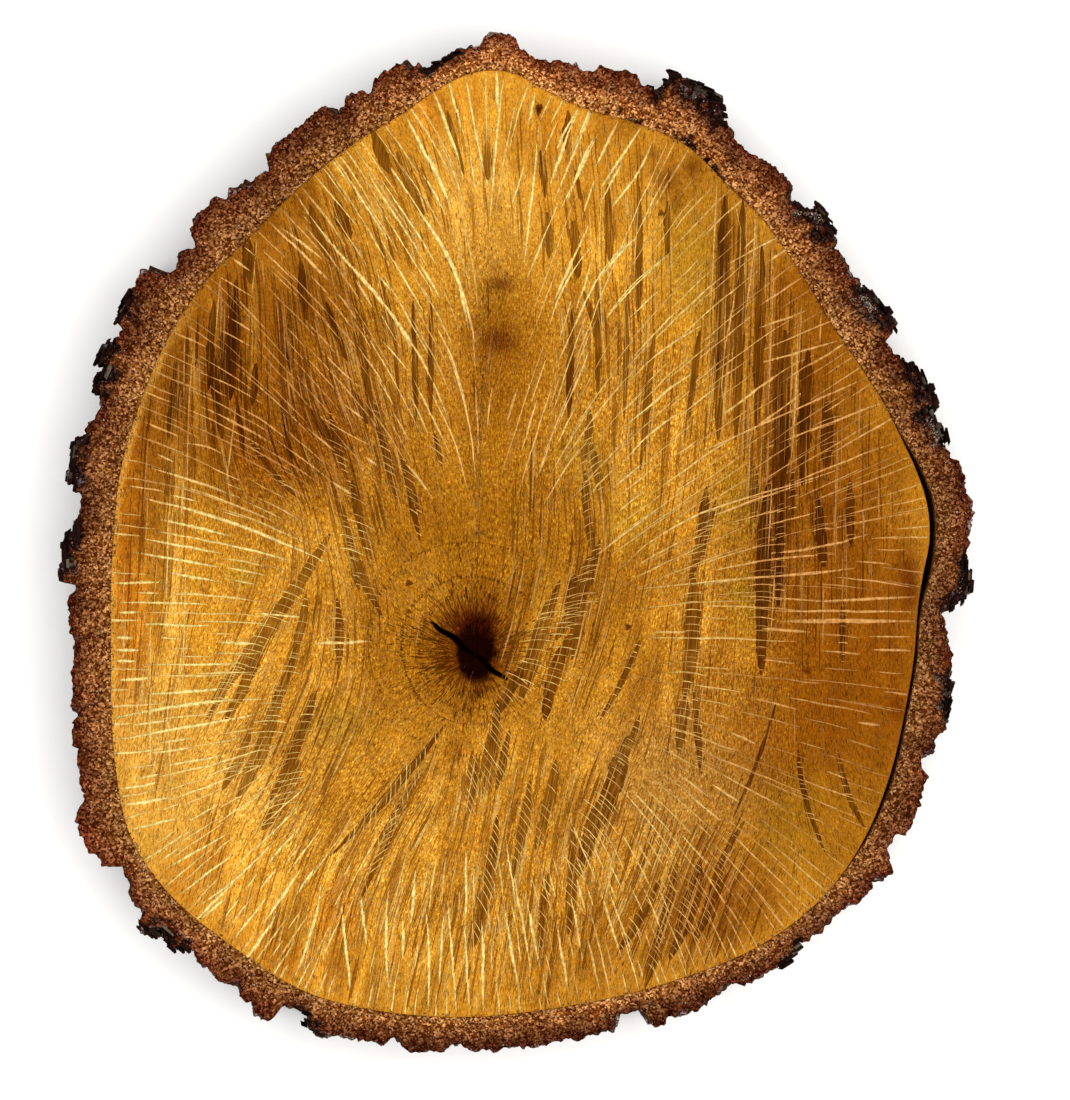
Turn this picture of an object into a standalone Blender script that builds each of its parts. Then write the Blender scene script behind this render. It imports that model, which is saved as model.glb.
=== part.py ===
"""A slice sawn from a small tree trunk: the wood, and the ring of bark still round it.

Metres, +Z up, lying flat on its lower sawn face. The origin is under the middle of its outline.
+Y is the longer way across. Angles are in degrees, anticlockwise from +X, seen from above.
"""

import math

import bmesh
import bpy
import numpy as np

MM = 0.001

# The two sizes that drive the slice
LENGTH = 300 * MM
THICKNESS = 30 * MM

# The outlines below are drawn in millimetres about the middle, and are then scaled to LENGTH

# The rim of the wood: (angle, distance from the middle in millimetres)
WOOD_RIM = [
    (0, 121.2), (5, 121.3), (10, 119.6), (15, 117.4), (20, 115.9), (25, 114.4),
    (30, 113.3), (35, 113.0), (40, 114.2), (46, 116.4), (53, 119.8), (60, 122.6),
    (66, 126.8), (74, 128.4), (81, 129.4), (86, 133.0), (90, 137.9), (95, 138.8),
    (100, 134.9), (105, 130.2), (111, 127.0), (120, 122.7), (130, 119.1), (140, 119.0),
    (150, 118.2), (160, 117.4), (170, 117.6), (180, 117.8), (187, 119.4), (195, 122.6),
    (202, 127.6), (210, 134.9), (217, 141.4), (224, 143.9), (235, 144.0), (245, 144.8),
    (255, 142.0), (265, 139.0), (275, 136.4), (290, 136.1), (303, 137.8), (312, 137.0),
    (320, 133.7), (328, 129.1), (337, 124.1), (345, 121.1), (351, 119.4), (356, 119.8),
]

# How thick the bark is in the furrows between its plates: (angle, millimetres)
BARK_FLOOR = [
    (0, 11.0), (18, 9.4), (36, 11.5), (51, 10.0), (73, 11.8), (84, 10.8), (89, 6.8),
    (100, 6.9), (112, 9.8), (123, 9.6), (141, 9.8), (162, 11.0), (175, 10.8), (192, 10.3),
    (208, 11.2), (220, 6.9), (231, 8.8), (245, 6.4), (257, 7.8), (273, 9.4), (284, 6.1),
    (296, 7.0), (305, 5.3), (313, 6.7), (321, 8.3), (333, 8.5), (346, 11.2), (351.7, 6.9),
]

# The plates of the bark: (where it starts, where it ends, how far it stands out from the wood in mm)
BARK_PLATES = [
    (3.0, 5.0, 13.8), (5.0, 11.2, 13.3), (11.2, 12.6, 12.0), (13.6, 17.3, 12.3), (18.3, 20.6, 15.2),
    (20.6, 24.0, 14.2), (24.0, 26.4, 12.0), (29.3, 35.6, 16.3), (36.9, 43.0, 13.7), (43.0, 45.9, 15.2),
    (45.9, 48.7, 16.6), (48.7, 50.0, 12.6), (52.2, 58.2, 13.5), (58.2, 62.0, 12.0), (62.0, 65.1, 13.4),
    (65.1, 72.0, 18.3), (75.0, 80.2, 13.9), (82.0, 85.2, 11.9), (85.2, 89.5, 8.6), (89.5, 93.7, 11.4),
    (93.7, 99.3, 8.3), (101.0, 103.0, 10.8), (103.0, 107.4, 14.5), (108.0, 110.8, 13.4),
    (110.8, 112.0, 11.4), (113.3, 118.3, 15.0), (118.3, 122.8, 15.3), (124.0, 126.4, 12.6),
    (127.3, 130.3, 13.8), (130.3, 134.8, 16.4), (134.8, 136.6, 14.6), (138.0, 139.8, 11.4),
    (142.0, 143.3, 12.2), (143.3, 151.1, 17.2), (151.1, 154.0, 13.5), (154.0, 156.6, 16.7),
    (156.6, 159.6, 15.0), (159.6, 161.0, 12.6), (163.8, 166.8, 13.0), (166.8, 172.2, 15.6),
    (172.2, 173.4, 12.6), (176.5, 179.0, 12.2), (179.0, 182.8, 15.4), (182.8, 185.1, 16.2),
    (186.4, 191.8, 12.9), (192.8, 195.3, 12.0), (195.3, 199.2, 12.2), (199.2, 200.5, 13.6),
    (201.6, 205.2, 12.8), (205.2, 211.1, 12.0), (211.1, 216.2, 14.8), (216.2, 218.6, 11.6),
    (222.0, 225.0, 10.6), (225.0, 227.3, 13.8), (228.2, 230.6, 11.8), (232.0, 237.1, 11.0),
    (238.4, 240.6, 11.2), (240.6, 243.1, 13.8), (246.6, 250.8, 11.1), (250.8, 255.9, 10.4),
    (257.2, 262.3, 11.1), (264.0, 268.4, 10.8), (268.4, 276.0, 10.4), (276.0, 281.3, 10.7),
    (285.8, 288.0, 11.8), (288.0, 292.6, 10.8), (292.6, 294.6, 9.2), (297.2, 300.0, 9.4),
    (300.0, 304.8, 8.5), (306.0, 312.3, 7.1), (313.3, 316.4, 10.2), (316.4, 317.6, 9.4),
    (317.6, 320.0, 12.1), (322.8, 327.0, 12.1), (327.0, 331.2, 11.7), (333.6, 336.0, 11.7),
    (336.0, 338.8, 14.0), (338.8, 342.6, 12.7), (342.6, 345.2, 11.9), (352.1, 353.3, 11.4),
    (353.3, 357.3, 14.9), (357.3, 363.0, 12.2),
]

# The gap between wood and bark, a hair where the bark still holds and wider where it has dried
# away: (angle, millimetres)
LOOSE_GAP = [
    (20, 0.3), (16, 0.6), (12, 1.6), (7, 2.3), (0, 2.0), (356, 2.6), (352, 1.5), (349, 1.0), (344, 1.3),
    (336, 1.2), (327, 1.5), (320, 0.9), (314, 0.3), (280, 0.3), (180, 0.3), (60, 0.3),
]

# The bark's relief through the thickness
BARK_COLUMNS = 540
BARK_LEVELS = [0.0, 0.06, 0.24, 0.42, 0.6, 0.78, 0.94, 1.0]
PLATE_SIDE = 0.5
PLATE_SWAY = 1.2
PLATE_LIFT_MM = 1.1
BROKEN_SHARE = 0.38
BREAK_DEPTH = 0.55
CHIPPED_SHARE = 0.45
CHIP_MOST_MM = 0.8
BARK_SEED = 11

# The dark hollow pith, and the short drying crack across it, on both sawn faces
PITH_MIDDLE_MM = (-12.1, -32.8)
PITH_HALF_MM = (4.6, 6.2, 4.5)
CRACK_ENDS_MM = [(-23.4, -24.9), (-4.0, -38.7)]
CRACK_WIDTH_MM = 1.5
CRACK_DEPTH_MM = 7.0
CRACK_STATIONS = 9

WOOD_POINTS = 240
WOOD_COLOUR = (0.60, 0.33, 0.08, 1.0)
WOOD_ROUGHNESS = 0.6
BARK_COLOUR = (0.13, 0.055, 0.030, 1.0)
BARK_ROUGHNESS = 0.9


def ring_curve(stations, angles):
    """A smooth closed curve through (angle, value) stations, read at the given angles: a cubic
    between each two stations, whose slope at a station is that between its two neighbours."""
    knots = np.array(sorted(stations), float)
    knots = np.vstack([knots[-2:] - [360, 0], knots, knots[:2] + [360, 0]])
    x, y = knots[:, 0], knots[:, 1]
    slope = np.gradient(y, x)
    at = (np.asarray(angles, float) - x[1]) % 360 + x[1]
    i = np.clip(np.searchsorted(x, at, side="right") - 1, 0, len(x) - 2)
    width = x[i + 1] - x[i]
    t = (at - x[i]) / width
    from_left = (1 + 2 * t) * (1 - t) ** 2 * y[i] + t * (1 - t) ** 2 * width * slope[i]
    from_right = t * t * (3 - 2 * t) * y[i + 1] - t * t * (1 - t) * width * slope[i + 1]
    return from_left + from_right


def ring_line(stations, angles):
    """The same kind of stations joined by straight lines, for values that must not overshoot."""
    knots = np.array(sorted((angle % 360, value) for angle, value in stations), float)
    return np.interp(angles, knots[:, 0], knots[:, 1], period=360)


def plate_window(angles, start, end):
    """1 on a plate and 0 off it, with a short steep side at each end."""
    middle, half = (start + end) / 2, (end - start) / 2
    away = np.abs((angles - middle + 180) % 360 - 180)
    t = np.clip((half - away) / PLATE_SIDE + 0.5, 0, 1)
    return t * t * (3 - 2 * t)


def bark_reach(angles, level):
    """How far the bark stands out from the wood at one level, 0 at the foot and 1 at the top. The
    plates wander and break more the further they are below the top face, where they were drawn."""
    rng = np.random.default_rng(BARK_SEED)
    depth = 1 - level
    floor = ring_line(BARK_FLOOR, angles) + 0.5 * np.sin(np.radians(angles) * 23 + 5 * depth) * depth
    reach = floor.copy()
    for start, end, height in BARK_PLATES:
        wander, lift = rng.uniform(-1, 1, 2)
        broken, chipped = rng.uniform(0, 1, 2)
        sway = PLATE_SWAY * wander * math.sin(2.4 * depth)
        tall = height + PLATE_LIFT_MM * min(lift, 0.2) * math.sin(3.0 * depth)
        if broken < BROKEN_SHARE and level < 0.15 + broken:
            tall -= BREAK_DEPTH * (height - floor.min())
        if chipped < CHIPPED_SHARE and level == 1:
            tall -= CHIP_MOST_MM * (1 - chipped)
        rise = plate_window(angles, start + sway, end + sway)
        reach = np.maximum(reach, floor + (tall - floor) * rise)
    return reach


def ring_angles(count):
    return np.arange(count) * 360 / count


def around(radii, angles):
    """Flat points at these distances from the middle."""
    turn = np.radians(angles)
    return np.stack([radii * np.cos(turn), radii * np.sin(turn)], axis=1)


def bark_rings():
    """The rings of points round the bark, each as (flat points in drawn millimetres, level), in
    order round its section: up the inner wall, then down the outer one."""
    angles = ring_angles(BARK_COLUMNS)
    rim = ring_curve(WOOD_RIM, angles)
    inner = around(rim + ring_line(LOOSE_GAP, angles), angles)
    rings = [(inner, 0.0), (inner, 1.0)]
    for level in reversed(BARK_LEVELS):
        rings.append((around(rim + bark_reach(angles, level), angles), level))
    return rings


class Drawing:
    """Takes drawn millimetres to metres: LENGTH is the length of the whole outline, and the
    origin is under the middle of it."""

    def __init__(self, rings):
        outline = np.concatenate([points for points, _ in rings])
        low, high = outline.min(axis=0), outline.max(axis=0)
        self.middle = (low + high) / 2
        self.scale = LENGTH / (high[1] - low[1])

    def point(self, x, y, z=0.0):
        return ((x - self.middle[0]) * self.scale, (y - self.middle[1]) * self.scale, z)


def finish(name, colour, roughness):
    material = bpy.data.materials.new(name)
    material.use_nodes = True
    shader = material.node_tree.nodes["Principled BSDF"]
    shader.inputs["Base Color"].default_value = colour
    shader.inputs["Roughness"].default_value = roughness
    shader.inputs["Metallic"].default_value = 0.0
    return material


def mesh_object(name, mesh, collection):
    made = bpy.data.objects.new(name, mesh)
    collection.objects.link(made)
    return made


def shape_to_mesh(name, shape):
    mesh = bpy.data.meshes.new(name)
    shape.to_mesh(mesh)
    shape.free()
    return mesh


def build_bark(rings, drawing, collection):
    """Lofts the bark's rings into one closed ring: each is joined to the next, and the last to
    the first across the lower face."""
    shape = bmesh.new()
    loops = [
        [shape.verts.new(drawing.point(x, y, level * THICKNESS)) for x, y in points]
        for points, level in rings
    ]
    for lower, upper in zip(loops, loops[1:] + loops[:1]):
        for i in range(BARK_COLUMNS):
            j = (i + 1) % BARK_COLUMNS
            shape.faces.new((lower[j], lower[i], upper[i], upper[j]))
    bmesh.ops.recalc_face_normals(shape, faces=shape.faces)
    bark = mesh_object("bark", shape_to_mesh("bark", shape), collection)
    bark.data.materials.append(finish("bark", BARK_COLOUR, BARK_ROUGHNESS))


def build_sawn_disc(drawing, collection):
    """The wood as a flat outline with thickness, made a mesh so that it can be cut."""
    angles = ring_angles(WOOD_POINTS)
    outline = bpy.data.curves.new("wood_outline", "CURVE")
    outline.dimensions = "2D"
    outline.fill_mode = "BOTH"
    outline.extrude = THICKNESS / 2
    spline = outline.splines.new("POLY")
    spline.points.add(WOOD_POINTS - 1)
    for point, (x, y) in zip(spline.points, around(ring_curve(WOOD_RIM, angles), angles)):
        point.co = (*drawing.point(x, y), 1.0)
    spline.use_cyclic_u = True
    guide = mesh_object("wood_outline", outline, collection)
    guide.location.z = THICKNESS / 2
    bpy.context.view_layer.update()
    graph = bpy.context.evaluated_depsgraph_get()
    shape = bmesh.new()
    shape.from_mesh(bpy.data.meshes.new_from_object(guide.evaluated_get(graph)))
    bmesh.ops.remove_doubles(shape, verts=shape.verts, dist=0.00001)
    wood = mesh_object("wood", shape_to_mesh("wood", shape), collection)
    wood.matrix_world = guide.matrix_world
    bpy.data.objects.remove(guide)
    wood.data.materials.append(finish("sawn_wood", WOOD_COLOUR, WOOD_ROUGHNESS))
    return wood


def pith_cutter(drawing, height, cutters):
    """The hollow of the pith: an egg shape centred on one sawn face."""
    shape = bmesh.new()
    bmesh.ops.create_uvsphere(shape, u_segments=24, v_segments=12, radius=1.0)
    half = [size * drawing.scale for size in PITH_HALF_MM]
    bmesh.ops.scale(shape, vec=half, verts=shape.verts)
    cutter = mesh_object("pith_hollow", shape_to_mesh("pith_hollow", shape), cutters)
    cutter.location = drawing.point(*PITH_MIDDLE_MM, height)
    return cutter


def crack_cutter(drawing, height, cutters):
    """The drying crack: a thin lens seen from above, down into one sawn face."""
    ends = np.array(CRACK_ENDS_MM)
    along = ends[1] - ends[0]
    across = np.array([-along[1], along[0]]) / np.linalg.norm(along)
    t = np.linspace(0, 1, CRACK_STATIONS)[:, None]
    half = CRACK_WIDTH_MM / 2 * (0.12 + 0.88 * np.sin(np.pi * t))
    middle_line = ends[0] + t * along
    edge = np.concatenate([middle_line + half * across, (middle_line - half * across)[::-1]])
    depth = CRACK_DEPTH_MM * drawing.scale
    shape = bmesh.new()
    foot = shape.faces.new([shape.verts.new(drawing.point(x, y, height - depth)) for x, y in edge])
    raised = bmesh.ops.extrude_face_region(shape, geom=[foot])["geom"]
    top = [item for item in raised if isinstance(item, bmesh.types.BMVert)]
    bmesh.ops.translate(shape, verts=top, vec=(0, 0, 2 * depth))
    bmesh.ops.recalc_face_normals(shape, faces=shape.faces)
    return mesh_object("drying_crack", shape_to_mesh("drying_crack", shape), cutters)


def cut(target, cutter):
    cutter.hide_render = True
    cutter.display_type = "WIRE"
    modifier = target.modifiers.new("cut_" + cutter.name, "BOOLEAN")
    modifier.operation = "DIFFERENCE"
    modifier.solver = "EXACT"
    modifier.object = cutter


def new_collection(name):
    collection = bpy.data.collections.new(name)
    bpy.context.scene.collection.children.link(collection)
    return collection


def main():
    for old in list(bpy.data.objects):
        bpy.data.objects.remove(old)
    slice_parts = new_collection("wood_slice")
    cutters = new_collection("cutters")
    rings = bark_rings()
    drawing = Drawing(rings)
    build_bark(rings, drawing, slice_parts)
    wood = build_sawn_disc(drawing, slice_parts)
    for height in (THICKNESS, 0.0):
        cut(wood, pith_cutter(drawing, height, cutters))
        cut(wood, crack_cutter(drawing, height, cutters))


main()
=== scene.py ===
# The looks of a slice sawn from a small tree trunk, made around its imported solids.
# Metres, +Z up. The slice lies on its lower sawn face and +Y is its longer way across.

import math

import bpy
import numpy as np
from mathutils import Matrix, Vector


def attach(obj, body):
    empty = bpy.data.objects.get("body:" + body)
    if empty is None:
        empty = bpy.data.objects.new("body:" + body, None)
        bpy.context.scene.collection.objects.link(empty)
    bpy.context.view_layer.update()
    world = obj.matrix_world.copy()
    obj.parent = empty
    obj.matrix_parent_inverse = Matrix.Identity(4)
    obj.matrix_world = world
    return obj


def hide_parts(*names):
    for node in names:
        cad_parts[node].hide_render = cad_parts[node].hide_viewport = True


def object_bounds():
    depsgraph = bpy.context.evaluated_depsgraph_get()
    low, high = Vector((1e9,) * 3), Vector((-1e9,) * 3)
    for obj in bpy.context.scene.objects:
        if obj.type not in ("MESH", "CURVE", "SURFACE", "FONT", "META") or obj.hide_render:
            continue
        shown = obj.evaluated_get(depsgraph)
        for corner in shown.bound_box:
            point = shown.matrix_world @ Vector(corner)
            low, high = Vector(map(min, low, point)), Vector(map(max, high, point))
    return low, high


print("wood slice: loading the solids")
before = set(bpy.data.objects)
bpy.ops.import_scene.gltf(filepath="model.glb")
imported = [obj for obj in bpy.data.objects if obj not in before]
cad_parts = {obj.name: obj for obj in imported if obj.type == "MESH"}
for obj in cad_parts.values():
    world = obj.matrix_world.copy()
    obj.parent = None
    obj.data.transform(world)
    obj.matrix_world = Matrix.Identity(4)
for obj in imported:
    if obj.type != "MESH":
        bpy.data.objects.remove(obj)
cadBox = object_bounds()
low, high = np.array(cadBox[0]), np.array(cadBox[1])
thickness = high[2] - low[2]
mm = 0.001
turn = 2 * math.pi

photo = {
    "size": (1070, 1100),  # pixels, the whole picture
    "middle": (516.0, 542.5),  # the pixel above the slice's origin
    "length": 1025.0,  # pixels from end to end of the slice
    "overExposure": 1.38,  # the picture shows colours this much lighter than they are
}
pixel = (high[1] - low[1]) / photo["length"]  # metres a pixel, at the height of the sawn face


def fromPhoto(pixels):
    # (u, v) in the photo -> (u - middle u, middle v - v) * metres a pixel
    return (np.asarray(pixels, float) - photo["middle"]) * (pixel, -pixel)


def linear(hexColour):
    # sRGB hex -> linear: c / 12.92 below 0.04045, else ((c + 0.055) / 1.055) ** 2.4
    c = np.array([int(hexColour[i : i + 2], 16) for i in (1, 3, 5)]) / 255
    return np.where(c < 0.04045, c / 12.92, ((c + 0.055) / 1.055) ** 2.4)


def smooth(x, start, end):
    # 0 before start, 1 after end, 3t^2 - 2t^3 between
    t = np.clip((x - start) / (end - start), 0, 1)
    return t * t * (3 - 2 * t)


def unit(ways):
    return ways / np.maximum(np.linalg.norm(ways, axis=-1, keepdims=True), 1e-12)


def heading(angles):
    # The unit way at each angle: (cos, sin)
    return np.stack([np.cos(angles), np.sin(angles)], axis=-1)


def leftOf(ways):
    # The same ways a quarter turn to the left: (-y, x)
    return np.stack([-ways[..., 1], ways[..., 0]], axis=-1)


def mix(tone, other, amount):
    # tone + amount * (other - tone)
    return tone + np.asarray(amount)[..., None] * (other - tone)


noise = {
    "axes": (73856093, 19349663, 83492791),  # odd numbers that scramble a lattice corner's place,
    "seed": 2654435761,  # the seed,
    "rounds": ((15, 2246822519), (13, 3266489917)),  # and the two together, after a shift of bits
    "level": 0.37,  # the height at which flat noise is read
}


def lumps(points, size, seed):
    # Value noise from -1 to 1: a random number at each corner of a cubic lattice with cells of
    # the given size, blended between a cell's eight corners by 3t^2 - 2t^3 along each axis
    place = np.asarray(points, float) / size
    cell = np.floor(place).astype(np.int64)
    t = place - cell
    t = t * t * (3 - 2 * t)
    total = np.zeros(place.shape[:-1])
    for corner in np.ndindex(2, 2, 2):
        key = (cell + corner) * noise["axes"]
        key = (key[..., 0] ^ key[..., 1] ^ key[..., 2]) + seed * noise["seed"] & 0xFFFFFFFF
        for shift, factor in noise["rounds"]:
            key = (key ^ (key >> shift)) * factor & 0xFFFFFFFF
        weight = np.where(corner, t, 1 - t).prod(axis=-1)
        total += weight * ((key >> 8 & 0xFFFF) / 32767.5 - 1)
    return total


def flatLumps(xy, size, seed):
    level = np.full(xy.shape[:-1] + (1,), noise["level"])
    return lumps(np.concatenate([xy, level], axis=-1), size, seed)


def sway(xy, size, seed):
    # Two flat noises as a way to move a point: one across, the next seed's up
    return np.stack([flatLumps(xy, size, seed), flatLumps(xy, size, seed + 1)], axis=-1)


# What the solids say: the wood's rim, the bark's inner wall, and its outer wall at each level
solids = {
    "angles": 2160,  # how many places round the slice the walls are read at
    "rimBeyond": 100 * mm,  # the wood's points further out than this are on its rim
    "wallBeyond": 4 * mm,  # the bark's points this far outside that rim are on its outer wall
}


def nodePoints(name):
    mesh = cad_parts[name].data
    points = np.empty(len(mesh.vertices) * 3, np.float32)
    mesh.vertices.foreach_get("co", points)
    return points.reshape(-1, 3).astype(float)


def readRing(points, angles):
    # The radius of these points at the given angles, straight between neighbours
    around = np.arctan2(points[:, 1], points[:, 0])
    return np.interp(angles, around, np.hypot(points[:, 0], points[:, 1]), period=turn)


ringAngles = np.arange(solids["angles"]) * turn / solids["angles"]
woodPoints, barkPoints = nodePoints("wood"), nodePoints("bark")
rimPoints = woodPoints[np.hypot(woodPoints[:, 0], woodPoints[:, 1]) > solids["rimBeyond"]]
rimRadius = readRing(rimPoints, ringAngles)
barkAngles = np.arctan2(barkPoints[:, 1], barkPoints[:, 0])
barkOut = np.hypot(barkPoints[:, 0], barkPoints[:, 1]) - readRing(rimPoints, barkAngles)
isOuter = barkOut > solids["wallBeyond"]
barkInner = readRing(barkPoints[~isOuter], ringAngles)
barkLevels = np.unique(np.round(barkPoints[:, 2], 5))
outerPoints = [barkPoints[isOuter & (abs(barkPoints[:, 2] - z) < 1e-5)] for z in barkLevels]
barkOuter = np.array([readRing(points, ringAngles) for points in outerPoints])


def ringAt(values, angles):
    return np.interp(angles, ringAngles, values, period=turn)


# The field of rays. Growth rings start round at the pith and take the rim's shape outwards:
#   radius(s, psi) = s * ((1 - s) * meanReach + s * reach(psi))
# Rays are the lines that cross every ring squarely, traced inwards from the rim.
rayField = {
    "pithPixel": (475.0, 655.0),
    "harmonics": 20,  # how much of the rim's waviness turns the rays
    "rings": 160,
    "columns": 1440,
    "innermost": 0.004,  # the ring inside which the rays turn no further
}
pith = fromPhoto(rayField["pithPixel"])
rimLine = rimRadius[:, None] * heading(ringAngles)
fromPith = rimLine - pith
rimPsi = np.arctan2(fromPith[:, 1], fromPith[:, 0])
reach = np.interp(ringAngles, rimPsi, np.hypot(*fromPith.T), period=turn)
spectrum = np.fft.rfft(reach)
spectrum[rayField["harmonics"] :] = 0
calmReach = np.fft.irfft(spectrum, len(reach))
closedReach = np.concatenate([calmReach[-1:], calmReach, calmReach[:1]])
reachSlope = np.gradient(closedReach, ringAngles[1])[1:-1]
meanReach = reach.mean()
rimSteps = np.hypot(*np.diff(rimLine, axis=0, append=rimLine[:1]).T)


def ringRadius(s, psi):
    return s * ((1 - s) * meanReach + s * ringAt(reach, psi))


def traceRays():
    # dpsi/ds = -A q / ((1 + q^2) radius), q = (d ring / dpsi) / ring, A = d radius / ds
    steps = np.linspace(1, 0, rayField["rings"] + 1)
    arc = np.concatenate([[0], np.cumsum(rimSteps)])
    unwound = np.unwrap(rimPsi)
    columns = np.arange(rayField["columns"] + 1) / rayField["columns"]
    psi = np.interp(columns * arc[-1], arc, np.append(unwound, unwound[0] + turn))
    rows = [psi]
    for s, following in zip(steps[:-1], steps[1:]):
        calm = ringAt(calmReach, psi)
        ring = (1 - s) * meanReach + s * calm
        q = s * ringAt(reachSlope, psi) / ring
        growth = ring + s * (calm - meanReach)
        radius = max(s, rayField["innermost"]) * ring
        psi = psi - (following - s) * growth * q / ((1 + q * q) * radius)
        rows.append(psi)
    return np.array(rows[::-1])


rayTable = traceRays()


def rayAngle(c, s):
    # The direction from the pith of ray c (0 to 1 round the rim) where it crosses ring s
    row = np.clip(s, 0, 1) * rayField["rings"]
    column = np.mod(c, 1) * rayField["columns"]
    i = np.minimum(row.astype(int), rayField["rings"] - 1)
    j = np.minimum(column.astype(int), rayField["columns"] - 1)
    a, b = row - i, column - j
    near = (1 - b) * rayTable[i, j] + b * rayTable[i, j + 1]
    far = (1 - b) * rayTable[i + 1, j] + b * rayTable[i + 1, j + 1]
    return (1 - a) * near + a * far


def rayPoint(c, s):
    # The place where ray c crosses ring s
    c, s = np.broadcast_arrays(np.asarray(c, float), np.asarray(s, float))
    psi = rayAngle(c, s)
    return pith + ringRadius(s, psi)[..., None] * heading(psi)


def halve(tooSmall, top, like, rounds=18):
    # The value at which tooSmall(value) turns false, by halving the interval from 0 to top
    below, above = np.zeros_like(like), np.full_like(like, top)
    for _ in range(rounds):
        middle = (below + above) / 2
        short = tooSmall(middle)
        below, above = np.where(short, middle, below), np.where(short, above, middle)
    return (below + above) / 2


def rayPlace(xy):
    # The other way: from a place to its ring s and its ray c
    offset = xy - pith
    radius = np.hypot(offset[..., 0], offset[..., 1])
    psi = np.arctan2(offset[..., 1], offset[..., 0])
    s = np.minimum(halve(lambda trial: ringRadius(trial, psi) < radius, 1.2, radius), 1)
    rowStart = rayAngle(np.zeros_like(s), s)
    psi = rowStart + np.mod(psi - rowStart, turn)
    return halve(lambda trial: rayAngle(trial, s) < psi, 1 - 1e-9, s), s


def scatter(rng, count, inner, outer):
    # Random rays and rings, even in s^2, and how much ground each has to itself, as a share of
    # what it has where the rays are spread evenly
    c, s = rng.uniform(0, 1, count), np.sqrt(rng.uniform(inner, outer, count))
    step = 0.0005
    apart = np.linalg.norm(rayPoint(c + step, s) - rayPoint(c - step, s), axis=1) / (2 * step)
    return c, s, apart / (s * rimSteps.sum())


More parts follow.
